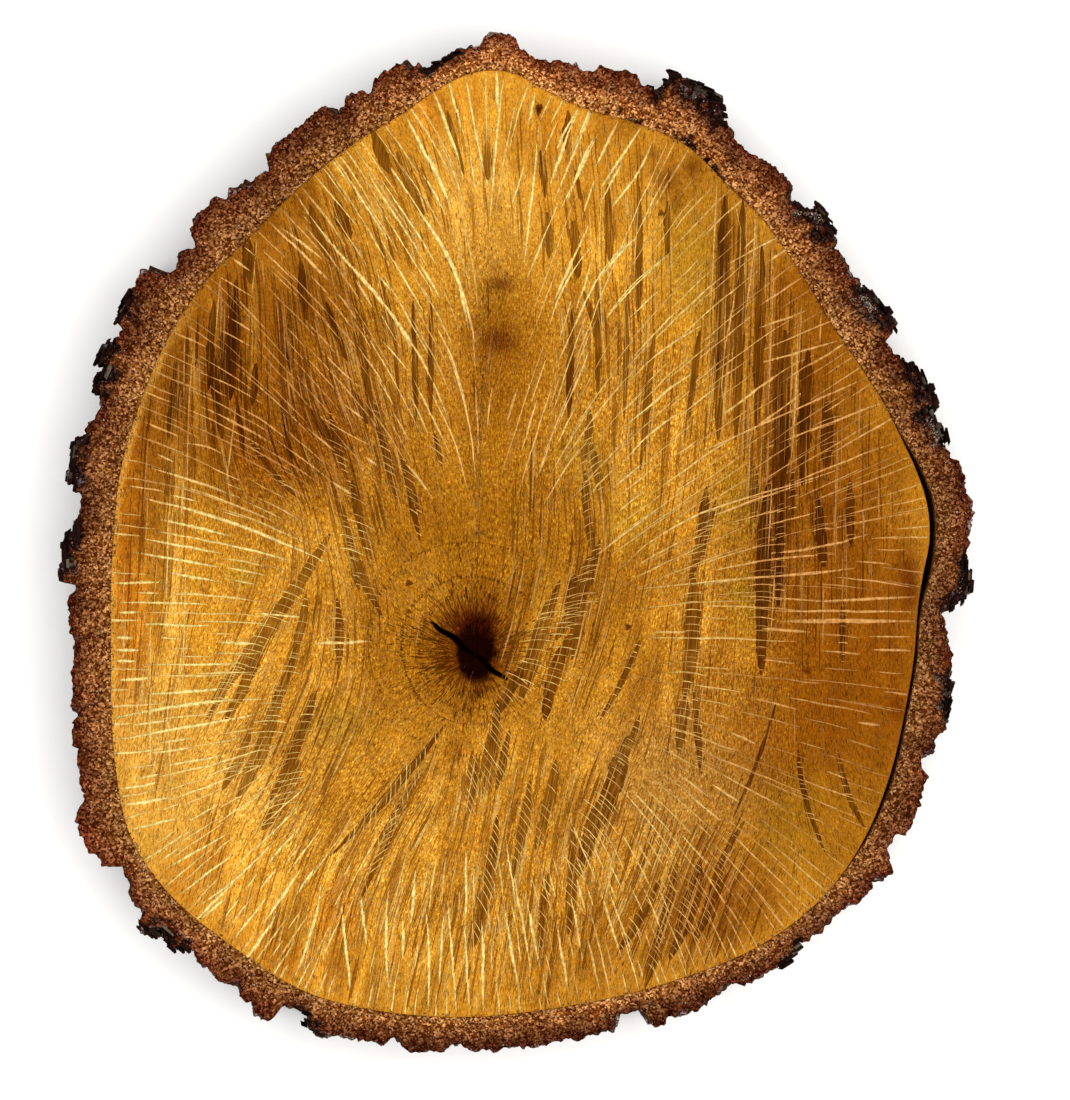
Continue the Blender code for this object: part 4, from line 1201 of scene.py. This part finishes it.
# The bark: one closed ring, carried round the wood
bark = {
    "columns": 1560,
    "innerRows": 4,
    "topRows": 20,
    "outerRows": 30,
    "bottomRows": 6,
    "grip": 0.3 * mm,  # the hair that the solids keep clear, closed here
    "knob": 1.5 * mm,
    "crumb": 0.7 * mm,
    "pitting": 0.6 * mm,
    "edgeDrop": 1.8 * mm,
    "innerLight": [
        (0, -0.1), (30, 0.5), (60, 0.75), (85, 1.1), (115, 0.1), (190, 0.1), (240, 0), (275, 0.4),
    ],
    # (degrees, light of the middle of the cut face, light of its outer part)
    "acrossLight": [
        (0, 1.7, 1.6), (25, 1.3, 1.4), (45, 1.7, 1.6), (65, 1.2, 1.4), (85, 1.7, 1.6), (110, 1.0, 0.9),
        (150, 0.8, 0.7), (190, 0.95, 0.65), (230, 1.1, 1.2), (255, 0.8, 0.55), (285, 0.75, 0.55),
        (310, 1.05, 1.0), (350, 1.3, 1.4),
    ],
    "crusts": [
        # (from, to in degrees): black weathered flakes at the outer edge
        (13, 24), (30, 36), (44, 50), (64, 73), (97, 101), (147, 150), (154, 160), (167, 173),
        (177, 184), (226, 231), (245, 248), (302, 305), (338, 343), (352, 358),
    ],
}
barkHex = {
    "inner": "#805222",
    "middle": "#75441D",
    "outer": "#5A240D",
    "weathered": "#3D2716",
    "crust": "#1C0E0A",
    "lichen": "#9A8E72",
    "seam": "#2A1006",
    "tan": "#BE9068",
    "pale": "#E4CCB4",
    "maroon": "#300B04",
}
barkTones = {name: linear(colour) / photo["overExposure"] for name, colour in barkHex.items()}


def outerRadius(angles, z):
    # Between the solid's levels, blended by 3t^2 - 2t^3
    level = np.interp(z, barkLevels, np.arange(len(barkLevels)))
    i = np.minimum(level.astype(int), len(barkLevels) - 2)
    t = level - i
    t = t * t * (3 - 2 * t)
    place = np.mod(angles, turn) / turn * len(ringAngles)
    j = place.astype(int) % len(ringAngles)
    f = place - place.astype(int)
    k = (j + 1) % len(ringAngles)
    below = (1 - f) * barkOuter[i, j] + f * barkOuter[i, k]
    above = (1 - f) * barkOuter[i + 1, j] + f * barkOuter[i + 1, k]
    return (1 - t) * below + t * above


def crustShare(angles):
    # 1 within a crust's run of degrees, fading over 1 degree
    degrees = np.degrees(angles) % 360
    shares = []
    for start, end in bark["crusts"]:
        begun, ended = smooth(degrees, start - 0.5, start + 0.5), smooth(degrees, end - 0.5, end + 0.5)
        shares.append(begun * (1 - ended))
    return np.max(shares, axis=0)


def barkSkin(angles, share, height, part):
    # A place on the bark: share across from the inner to the outer wall, height from 0 to 1, on
    # part 0, 1, 2 or 3 of its section (inner wall, cut face, outer wall, underside). Knobs and
    # crumbs move the outer wall in and out, pits sink the cut face, and its outer edge falls off.
    angles, share, height, part = np.broadcast_arrays(angles, share, height, part)
    gap = ringAt(barkInner - rimRadius, angles) - bark["grip"]
    inner = ringAt(rimRadius, angles) + np.maximum(gap, -0.05 * mm)
    z = height * thickness
    outer = outerRadius(angles, z)
    radius = inner + share * (outer - inner)
    around = heading(angles)
    rough = np.concatenate([around * radius[..., None], z[..., None]], axis=-1)
    knobs = 0.5 * lumps(rough * (1, 1, 0.6), 3.8 * mm, 71) - 0.4
    knobs = knobs + abs(lumps(rough * (1, 1, 0.7), 2.2 * mm, 72))
    crumbs = lumps(rough, 1.1 * mm, 73)
    onSide = np.where(part == 2, 1.0, smooth(share, 0.7, 1.0) * (part != 0))
    radius = radius + onSide * (bark["knob"] * (knobs - 0.25) + bark["crumb"] * (crumbs - 0.3))
    loose = smooth(gap, 0.2 * mm, 0.8 * mm) * (1 - smooth(share, 0, 0.1)) * (part != 3)
    radius = np.maximum(radius + loose * 0.35 * mm * (0.5 + 0.5 * crumbs), inner)
    pits = 0.5 + 0.3 * lumps(rough, 1.3 * mm, 74) + 0.2 * lumps(rough, 0.75 * mm, 75)
    edge = smooth(share, 0.72, 1.0) ** 2 * (0.55 + 0.45 * knobs)
    drop = np.where(part == 1, bark["pitting"] * pits, 0) + bark["edgeDrop"] * edge * (height == 1)
    z = np.clip(z - drop + np.where(part == 3, 0.2 * mm * pits, 0), 0.0, thickness)
    xy = np.clip(around * radius[..., None], low[:2], high[:2])
    depth = np.clip((radius - inner) / (outer - inner), 0, 1)
    return np.concatenate([xy, z[..., None] + low[2]], axis=-1), depth, rough


def barkTone(angles, depth, rough, part, z):
    # The run from inner to outer bark by depth, in patches, times the light of each side of the
    # slice, then the dark seam, the weathered outer wall, the crusts and the lichen mixed over it
    depth = depth + 0.16 * lumps(rough, 3 * mm, 76) + 0.08 * lumps(rough, 1.2 * mm, 79)
    patches = 1 + 0.24 * lumps(rough, 4.5 * mm, 83) + 0.16 * lumps(rough, 10 * mm, 84)
    run = np.array([barkTones[name] for name in ("inner", "middle", "outer")])
    tone = np.stack([np.interp(depth, [0.05, 0.5, 0.95], run[:, i]) for i in range(3)], axis=-1)
    degrees = np.degrees(angles) % 360
    turned = np.abs((degrees - 20 + 180) % 360 - 180)
    shade = np.interp(turned, [20, 100, 180], [0.48, 0.95, 1.0])
    at, light = zip(*bark["innerLight"])
    glow = np.interp(degrees, at, light, period=360) * (1 - smooth(depth, 0.3, 0.6))
    tone = tone * (patches * (1 + glow))[..., None]
    tone = tone * (1 + (shade - 1) * (0.4 + 0.6 * smooth(depth, 0.1, 0.5)))[..., None]
    at, middle, outer = zip(*bark["acrossLight"])
    middle, outer = (np.interp(degrees, at, light, period=360) for light in (middle, outer))
    light = 1 + (middle - 1) * smooth(depth, 0.2, 0.45) + (outer - middle) * smooth(depth, 0.5, 0.75)
    tone = tone * light[..., None]
    seam = smooth(degrees, 57, 60) * smooth(-degrees, -79, -76) * (1 - smooth(depth, 0.08, 0.16))
    tone = mix(tone, barkTones["seam"], seam * smooth(lumps(rough, 1.5 * mm, 80), -0.5, 0.3))
    outside = np.where(part == 2, smooth(thickness - z, 0.4 * mm, 2.0 * mm), 0.0)
    tone = mix(tone, barkTones["weathered"], outside)
    crust = crustShare(angles) * smooth(depth, 0.5, 0.74) * np.where(part == 0, 0, 1)
    crust = crust * smooth(lumps(rough, 2.2 * mm, 82), -0.9, 0.1)
    tone = mix(tone, barkTones["crust"], crust)
    lichen = smooth(lumps(rough, 6 * mm, 77) + 0.6 * lumps(rough, 2 * mm, 78), 0.35, 0.8)
    return mix(tone, barkTones["lichen"], 0.55 * lichen * np.maximum(outside, 0.2 * crust))


def buildBark():
    angles = np.arange(bark["columns"]) * turn / bark["columns"]
    rows = []  # each row: (share across from inner to outer wall, height, part of the section)
    rows += [(0.0, z, 0) for z in np.linspace(0, 1, bark["innerRows"])]
    rows += [(a, 1.0, 1) for a in np.linspace(0, 1, bark["topRows"] + 2)[1:-1]]
    rows += [(1.0, z, 2) for z in np.linspace(1, 0, bark["outerRows"])]
    rows += [(a, 0.0, 3) for a in np.linspace(1, 0, bark["bottomRows"] + 2)[1:-1]]
    share, height, part = (np.array(column)[:, None] for column in zip(*rows))
    points, depth, rough = barkSkin(angles[None], share, height, part)
    tone = barkTone(np.broadcast_to(angles, depth.shape), depth, rough, part, points[..., 2] - low[2])
    quads = gridQuads(len(rows), len(angles), closedRows=True)[..., ::-1]
    return addMesh("bark_ring", points.reshape(-1, 3), quads, None, toneLayer(tone))


grit = {
    "seed": 21,
    "count": 18000,
    "half": (0.11 * mm, 0.28 * mm),
    "glints": ((46, 50, 0.7, 0.95), (13, 17, 0.7, 0.95), (33, 36, 0.7, 0.95)),  # painted glints, pale specks near the flakes: degrees, shares across
    "glintsEach": 130,
    "strays": 0.1,  # the share that lies on the wood's edge where the bark grips it,
    "strayOut": (-0.3 * mm, 0.9 * mm),  # this far over it
    "large": (0.12, 1.5),  # the share of large ones, and how much larger they are
}
flakes = {
    "seed": 22,
    "perDegree": 8,
    "half": (1.1 * mm, 2.9 * mm),
    "thin": 0.34 * mm,
    "lean": (0.2, 0.25),  # how far a flake's upper edge stands out from the wall, and its spread
    "out": (-0.8 * mm, 0.2 * mm),  # where its middle lies, from the wall outwards
    "light": (0.4, 2.4),  # times the crust's tone
    "dusty": (0.08, 0.1, 0.5),  # the share with lichen dust on it, and the least and most dust
}
# Two small shapes: corners as shares of three crossed axes, and faces
octahedron = {
    "corners": [(1, 0, 0), (-1, 0, 0), (0, 1, 0), (0, -1, 0), (0, 0, 1), (0, 0, -1)],
    "triangles": [
        (0, 2, 4), (2, 1, 4), (1, 3, 4), (3, 0, 4), (2, 0, 5), (1, 2, 5), (3, 1, 5), (0, 3, 5),
    ],
}
plate = {
    "corners": [
        (-1, -0.6, -1), (0.7, -1, -1), (1, 0.7, -1), (-0.5, 1, -1),
        (-0.8, -0.7, 1), (0.8, -0.8, 1), (0.9, 0.8, 1), (-0.6, 0.8, 1),
    ],
    "quads": [(3, 2, 1, 0), (4, 5, 6, 7), (0, 1, 5, 4), (1, 2, 6, 5), (2, 3, 7, 6), (3, 0, 4, 7)],
}


def addGrains(name, shape, centres, axes, tone):
    # Each grain is the shape's corners times its own three axes, about its centre
    corners = centres[:, None] + np.array(shape["corners"]) @ axes
    corners = np.clip(corners, low, high)
    n, m = corners.shape[:2]
    first = np.arange(n)[:, None, None] * m
    faces = {kind: first + np.array(shape[kind]) for kind in ("quads", "triangles") if kind in shape}
    return addMesh(name, corners.reshape(-1, 3), attributes=toneLayer(np.repeat(tone, m, axis=0)), **faces)


def buildGrit():
    # Grains on the cut face, some strayed over the wood's edge, some near the flakes painted pale as
    # glints
    rng = np.random.default_rng(grit["seed"])
    n = grit["count"]
    angles, share = rng.uniform(0, turn, n), rng.uniform(0.01, 0.99, n)
    each = grit["glintsEach"]
    glints = each * len(grit["glints"])
    for i, (start, end, inner, outer) in enumerate(grit["glints"]):
        picked = slice(i * each, (i + 1) * each)
        angles[picked] = np.radians(rng.uniform(start, end, each))
        share[picked] = rng.uniform(inner, outer, each)
    ones = np.ones(n)
    points, depth, rough = barkSkin(angles, share, ones, ones)
    gripped = ringAt(barkInner - rimRadius, angles) < bark["grip"] + 0.1 * mm
    strays = (rng.uniform(0, 1, n) < grit["strays"]) & gripped
    strays[:glints] = False
    atEdge = barkSkin(angles, 0 * share, ones, ones)
    for values, edgeValues in zip((points, depth, rough), atEdge):
        values[strays] = edgeValues[strays]
    points[:, :2] -= (strays * rng.uniform(*grit["strayOut"], n))[:, None] * heading(angles)
    largeShare, larger = grit["large"]
    half = rng.uniform(*grit["half"], n) * np.where(rng.uniform(0, 1, n) < largeShare, larger, 1)
    spin = heading(rng.uniform(0, turn, n))
    across = np.concatenate([spin, rng.uniform(-0.4, 0.4, (n, 1))], axis=1)
    along = np.concatenate([leftOf(spin), rng.uniform(-0.4, 0.4, (n, 1))], axis=1)
    up = np.cross(across, along)
    axes = np.stack([across * rng.uniform(0.7, 1.4, (n, 1)), along, up * 0.7], axis=1)
    axes *= half[:, None, None]
    tone = barkTone(angles, depth, rough, ones, points[:, 2] - low[2])
    pick = rng.uniform(0, 1, n) + 0.12 * (0.5 - depth)
    names = np.array(["maroon", "middle", "tan", "pale"])[np.digitize(pick, (0.46, 0.66, 0.93))]
    tone = mix(tone, np.array([barkTones[name] for name in names]), rng.uniform(0.3, 0.7, n))
    # painted glints: the grains near the flakes are pale specks that stand in for sparkle on the grit
    tone[:glints] = barkTones["pale"] * rng.uniform(0.1, 0.8, glints)[:, None]
    return addGrains("cork_grit", octahedron, points - (0, 0, 0.05 * mm), axes, tone)


def buildFlakes():
    # Thin flat grains like shingles on the outer wall of each crust: one axis round the slice, one
    # up and outwards, and a short one square to both
    rng = np.random.default_rng(flakes["seed"])
    runs = []
    for start, end in bark["crusts"]:
        count = int((end - start + 1) * flakes["perDegree"])
        runs.append(rng.uniform(start - 0.5, end + 0.5, count))
    angles = np.radians(np.concatenate(runs))
    n = len(angles)
    height = 1 - 0.6 * rng.uniform(0, 1, n) ** 2
    ones = np.ones(n)
    points, depth, rough = barkSkin(angles, ones, height * 0.995, 2 * ones)
    outwards = np.stack([np.cos(angles), np.sin(angles), 0 * angles], axis=1)
    around = np.stack([-np.sin(angles), np.cos(angles), rng.normal(0, 0.25, n)], axis=1)
    lean = rng.normal(*flakes["lean"], n)
    upwards = np.stack([np.cos(angles) * lean, np.sin(angles) * lean, ones], axis=1)
    half = rng.uniform(*flakes["half"], (n, 2))
    square = unit(np.cross(around, upwards)) * flakes["thin"]
    axes = np.stack([unit(around) * half[:, :1], unit(upwards) * 0.6 * half[:, 1:], square], axis=1)
    centres = points + outwards * rng.uniform(*flakes["out"], n)[:, None]
    tone = barkTones["crust"] * rng.uniform(*flakes["light"], n)[:, None]
    dustyShare, leastDust, mostDust = flakes["dusty"]
    dust = (rng.uniform(0, 1, n) < dustyShare) * rng.uniform(leastDust, mostDust, n)
    tone = mix(tone, barkTones["lichen"], dust)
    return addGrains("bark_flakes", plate, centres, axes, tone)


# Materials
def addNode(tree, kind, inputs=None, stops=None, **settings):
    made = tree.nodes.new(kind)
    for key, value in settings.items():
        setattr(made, key, value)
    for key, value in (inputs or {}).items():
        if isinstance(value, bpy.types.NodeSocket):
            tree.links.new(value, made.inputs[key])
        else:
            made.inputs[key].default_value = value
    if stops:
        ramp = made.color_ramp.elements
        while len(ramp) < len(stops):
            ramp.new(1.0)
        for element, (at, colour) in zip(ramp, stops):
            element.position = at
            element.color = (*colour, 1.0)
    return made


def newMaterial(name, roughness, specular):
    material = bpy.data.materials.new(name)
    material.use_nodes = True
    principled = material.node_tree.nodes["Principled BSDF"]
    principled.inputs["Roughness"].default_value = roughness
    principled.inputs["IOR"].default_value = 1.5
    principled.inputs["Specular IOR Level"].default_value = specular
    return material, material.node_tree, principled


def objectPlace(tree):
    return addNode(tree, "ShaderNodeTexCoord").outputs["Object"]


def evenNoise(tree, place, size, detail):
    # Noise with lumps of the given size in metres
    inputs = {"Vector": place, "Scale": 1 / size, "Detail": detail}
    return addNode(tree, "ShaderNodeTexNoise", inputs).outputs["Fac"]


def combined(tree, kind, operation, *values):
    # The first output of a Math or Vector Math node on these values
    return addNode(tree, kind, dict(enumerate(values)), operation=operation).outputs[0]


def spreadOut(tree, value, least, most):
    # The value's run from least to most, drawn out to 0 to 1
    inputs = {"Value": value, "From Min": least, "From Max": most}
    return addNode(tree, "ShaderNodeMapRange", inputs).outputs[0]


def factorRun(tree, value, stops):
    # Red, green and blue factors that run from stop to stop
    return addNode(tree, "ShaderNodeValToRGB", {"Fac": value}, stops=stops).outputs["Color"]


def toneTimes(tree, principled, factor, scale, most=(0.95, 0.8, 0.5)):
    # Base colour = the piece's own tone * factor * scale, held under the most that wood gives back
    colour = addNode(tree, "ShaderNodeAttribute", attribute_name="tone").outputs["Color"]
    factor = combined(tree, "ShaderNodeVectorMath", "MULTIPLY", factor, scale)
    for operation, value in (("MULTIPLY", factor), ("MINIMUM", most)):
        colour = combined(tree, "ShaderNodeVectorMath", operation, colour, value)
    tree.links.new(colour, principled.inputs["Base Color"])


def bumpFrom(tree, principled, height, strength, distance):
    inputs = {"Height": height, "Strength": strength, "Distance": distance}
    tree.links.new(addNode(tree, "ShaderNodeBump", inputs).outputs[0], principled.inputs["Normal"])


def leaningNoise(tree, place, lean, size):
    # Noise drawn out along a line that leans by so many degrees, size = (across, along) in metres
    across, along = size
    inputs = {"Vector": place, "Rotation": (0, 0, -math.radians(lean)), "Scale": (across, along, across)}
    turned = addNode(tree, "ShaderNodeMapping", inputs, vector_type="TEXTURE").outputs[0]
    inputs = {"Vector": turned, "Scale": 1.0, "Detail": 1.5, "Roughness": 0.6}
    return addNode(tree, "ShaderNodeTexNoise", inputs).outputs["Fac"]


def sawnEndGrain():
    # Hardwood end grain off a chainsaw: matt, fuzzy with torn fibres about 0.4 by 1.3 mm that lie
    # along the saw's marks, with pores of about 0.6 mm, drawn coarser than real ones
    material, tree, principled = newMaterial("sawn_end_grain", 0.8, 0.008)
    place = objectPlace(tree)
    shares = addNode(tree, "ShaderNodeAttribute", attribute_name="fuzz").outputs["Vector"]
    three = addNode(tree, "ShaderNodeCombineXYZ")
    for i, lean in enumerate(wood["fuzzLeans"]):
        tree.links.new(leaningNoise(tree, place, lean, (0.40 * mm, 1.3 * mm)), three.inputs[i])
    inputs = {0: three.outputs[0], 1: shares}
    fuzz = addNode(tree, "ShaderNodeVectorMath", inputs, operation="DOT_PRODUCT").outputs["Value"]
    pores = evenNoise(tree, place, 1 / 1700, 1.0)
    total = combined(tree, "ShaderNodeMath", "MULTIPLY_ADD", pores, 0.45, fuzz)
    spread = spreadOut(tree, total, 0.50, 0.94)
    stops = [
        (0.0, (0.25, 0.132, 0.020)),
        (0.28, (0.40, 0.290, 0.090)),
        (0.52, (0.51, 0.425, 0.240)),
        (0.78, (0.65, 0.630, 0.480)),
        (1.0, (0.93, 1.020, 1.000)),
    ]
    grain = addNode(tree, "ShaderNodeAttribute", attribute_name="tone").outputs["Alpha"]
    inputs = {0: grain, 6: (0.51, 0.425, 0.26, 1.0), 7: factorRun(tree, spread, stops)}
    mixed = addNode(tree, "ShaderNodeMix", inputs, data_type="RGBA").outputs[2]
    toneTimes(tree, principled, mixed, (2.1, 2.5, 3.4))
    bumpFrom(tree, principled, spread, 0.4, 0.15 * mm)
    return material


def sawPolished():
    # The same wood where the saw's tooth left it clean: smooth, dark, with fine scratches
    material, tree, principled = newMaterial("saw_polished_wood", 0.6, 0.012)
    scratches = leaningNoise(tree, objectPlace(tree), 6, (0.5 * mm, 9 * mm))
    stops = [(0.3, (0.3, 0.28, 0.25)), (0.5, (0.5, 0.5, 0.5)), (0.7, (0.75, 0.8, 0.85))]
    toneTimes(tree, principled, factorRun(tree, scratches, stops), (1.55, 1.6, 1.2))
    return material


def plainTone(name, roughness, specular, grain):
    # The piece's own tone, a little uneven at the given size
    material, tree, principled = newMaterial(name, roughness, specular)
    uneven = evenNoise(tree, objectPlace(tree), grain, 1.0)
    stops = [(0.3, (0.36, 0.34, 0.3)), (0.5, (0.5, 0.5, 0.5)), (0.7, (0.62, 0.64, 0.7))]
    toneTimes(tree, principled, factorRun(tree, uneven, stops), (2.0, 2.0, 2.0))
    return material


def dryBark():
    # Dry bark: corky grit of about 0.5 mm, red-brown where sawn, near black and dusty outside, its speckle
    # partly painted light and shade
    material, tree, principled = newMaterial("dry_bark", 0.85, 0.015)
    place = objectPlace(tree)
    inputs = {"Vector": place, "Scale": 1900.0, "Randomness": 1.0}
    cells = addNode(tree, "ShaderNodeTexVoronoi", inputs)
    random = addNode(tree, "ShaderNodeSeparateColor", {0: cells.outputs["Color"]}).outputs[0]
    clumps = evenNoise(tree, place, 1 / 650, 3.0)
    total = combined(tree, "ShaderNodeMath", "MULTIPLY_ADD", clumps, 0.5, random)
    # The cells run from near black to pinkish white. This is partly the grit's own mixed colour and partly
    # painted: the bright end stands in for glints on the grit and the dark end for shade in its crevices
    stops = [
        (0.0, (0.04, 0.010, 0.002)),
        (0.35, (0.12, 0.060, 0.026)),
        (0.6, (0.29, 0.250, 0.180)),
        (0.82, (0.54, 0.640, 0.900)),
        (1.0, (1.00, 1.300, 2.300)),
    ]
    factor = factorRun(tree, spreadOut(tree, total, 0.12, 1.28), stops)
    toneTimes(tree, principled, factor, (4.0, 4.0, 4.5), (0.85, 0.66, 0.46))
    bumpFrom(tree, principled, cells.outputs["Distance"], 0.6, 0.3 * mm)
    return material


# Put together
def dress(made, material, slotName, *nodes):
    made.data.materials.append(material)
    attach(made, "root")
    if nodes:
        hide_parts(*nodes)
    print("wood slice:", made.name, len(made.data.polygons), "faces")


dress(buildWood(), sawnEndGrain(), "wood", "wood")
polished = sawPolished()
dress(buildStrips(), polished, "wood")
scratched = plainTone("saw_scratched_wood", 0.7, 0.01, 0.8 * mm)
dress(buildStreaks(), scratched, "wood")
dress(buildPithMarks(), scratched, "wood")
dress(buildSpots(), scratched, "wood")
rayTissue = plainTone("ray_tissue", 0.6, 0.03, 1.2 * mm)  # dense pale tissue, a little glossier
dress(buildRays(), rayTissue, "wood")
dress(buildFaintRays(), rayTissue, "wood")
dress(buildRungs(), rayTissue, "wood")
dress(buildFibres(), plainTone("torn_fibre", 0.8, 0.008, 1.0 * mm), "wood")
dress(buildBark(), dryBark(), "bark", "bark")
corkGrain = plainTone("cork_grain", 0.8, 0.02, 0.5 * mm)
dress(buildGrit(), corkGrain, "bark")
dress(buildFlakes(), corkGrain, "bark")

# Stage, lights and camera
studio = {
    "floor": "#FFFFFF",
    "sky": 1.2,
    "keyPlace": (0.6, -0.2, 1.1),
    "keySize": 1.3,
    "keyPower": 6.0,
    "cameraHeight": 1.3,
    "sensor": 24.0,
    "floorHalf": 3.0,
    "skyTint": (1.0, 0.99, 0.975, 1.0),
    "keyTint": (1.0, 0.98, 0.95),
}


def layFloor():
    points = studio["floorHalf"] * np.array([(-1, -1, 0), (1, -1, 0), (1, 1, 0), (-1, 1, 0)])
    floor = addMesh("studio_floor", points, np.array([[0, 1, 2, 3]]))
    material, _, principled = newMaterial("matt_paper", 0.9, 0.0)
    principled.inputs["Base Color"].default_value = (*linear(studio["floor"]), 1.0)
    floor.data.materials.append(material)


def lightAndShoot():
    scene = bpy.context.scene
    world = bpy.data.worlds.new("soft_daylight")
    world.use_nodes = True
    background = world.node_tree.nodes["Background"].inputs
    background["Color"].default_value = studio["skyTint"]
    background["Strength"].default_value = studio["sky"]
    scene.world = world
    lamp = bpy.data.lights.new("key", "AREA")
    lamp.shape = "DISK"
    lamp.size = studio["keySize"]
    lamp.energy = studio["keyPower"]
    lamp.color = studio["keyTint"]
    key = bpy.data.objects.new("key", lamp)
    x, y, z = studio["keyPlace"]
    key.location = (x, y, z)
    key.rotation_euler = (math.atan2(math.hypot(x, y), z), 0, math.atan2(-y, -x) - math.pi / 2)
    scene.collection.objects.link(key)
    lens = bpy.data.cameras.new("overhead")
    lens.sensor_fit = "VERTICAL"
    lens.sensor_height = studio["sensor"]
    lens.lens = studio["sensor"] * studio["cameraHeight"] / (photo["size"][1] * pixel)
    lens.clip_start, lens.clip_end = 0.05, 20
    camera = bpy.data.objects.new("overhead", lens)
    middle = fromPhoto((photo["size"][0] / 2, photo["size"][1] / 2))
    camera.location = (*middle, high[2] + studio["cameraHeight"])
    scene.collection.objects.link(camera)
    scene.camera = camera
    scene.view_settings.view_transform = "Standard"


print("wood slice: stage, light and camera")
layFloor()
lightAndShoot()
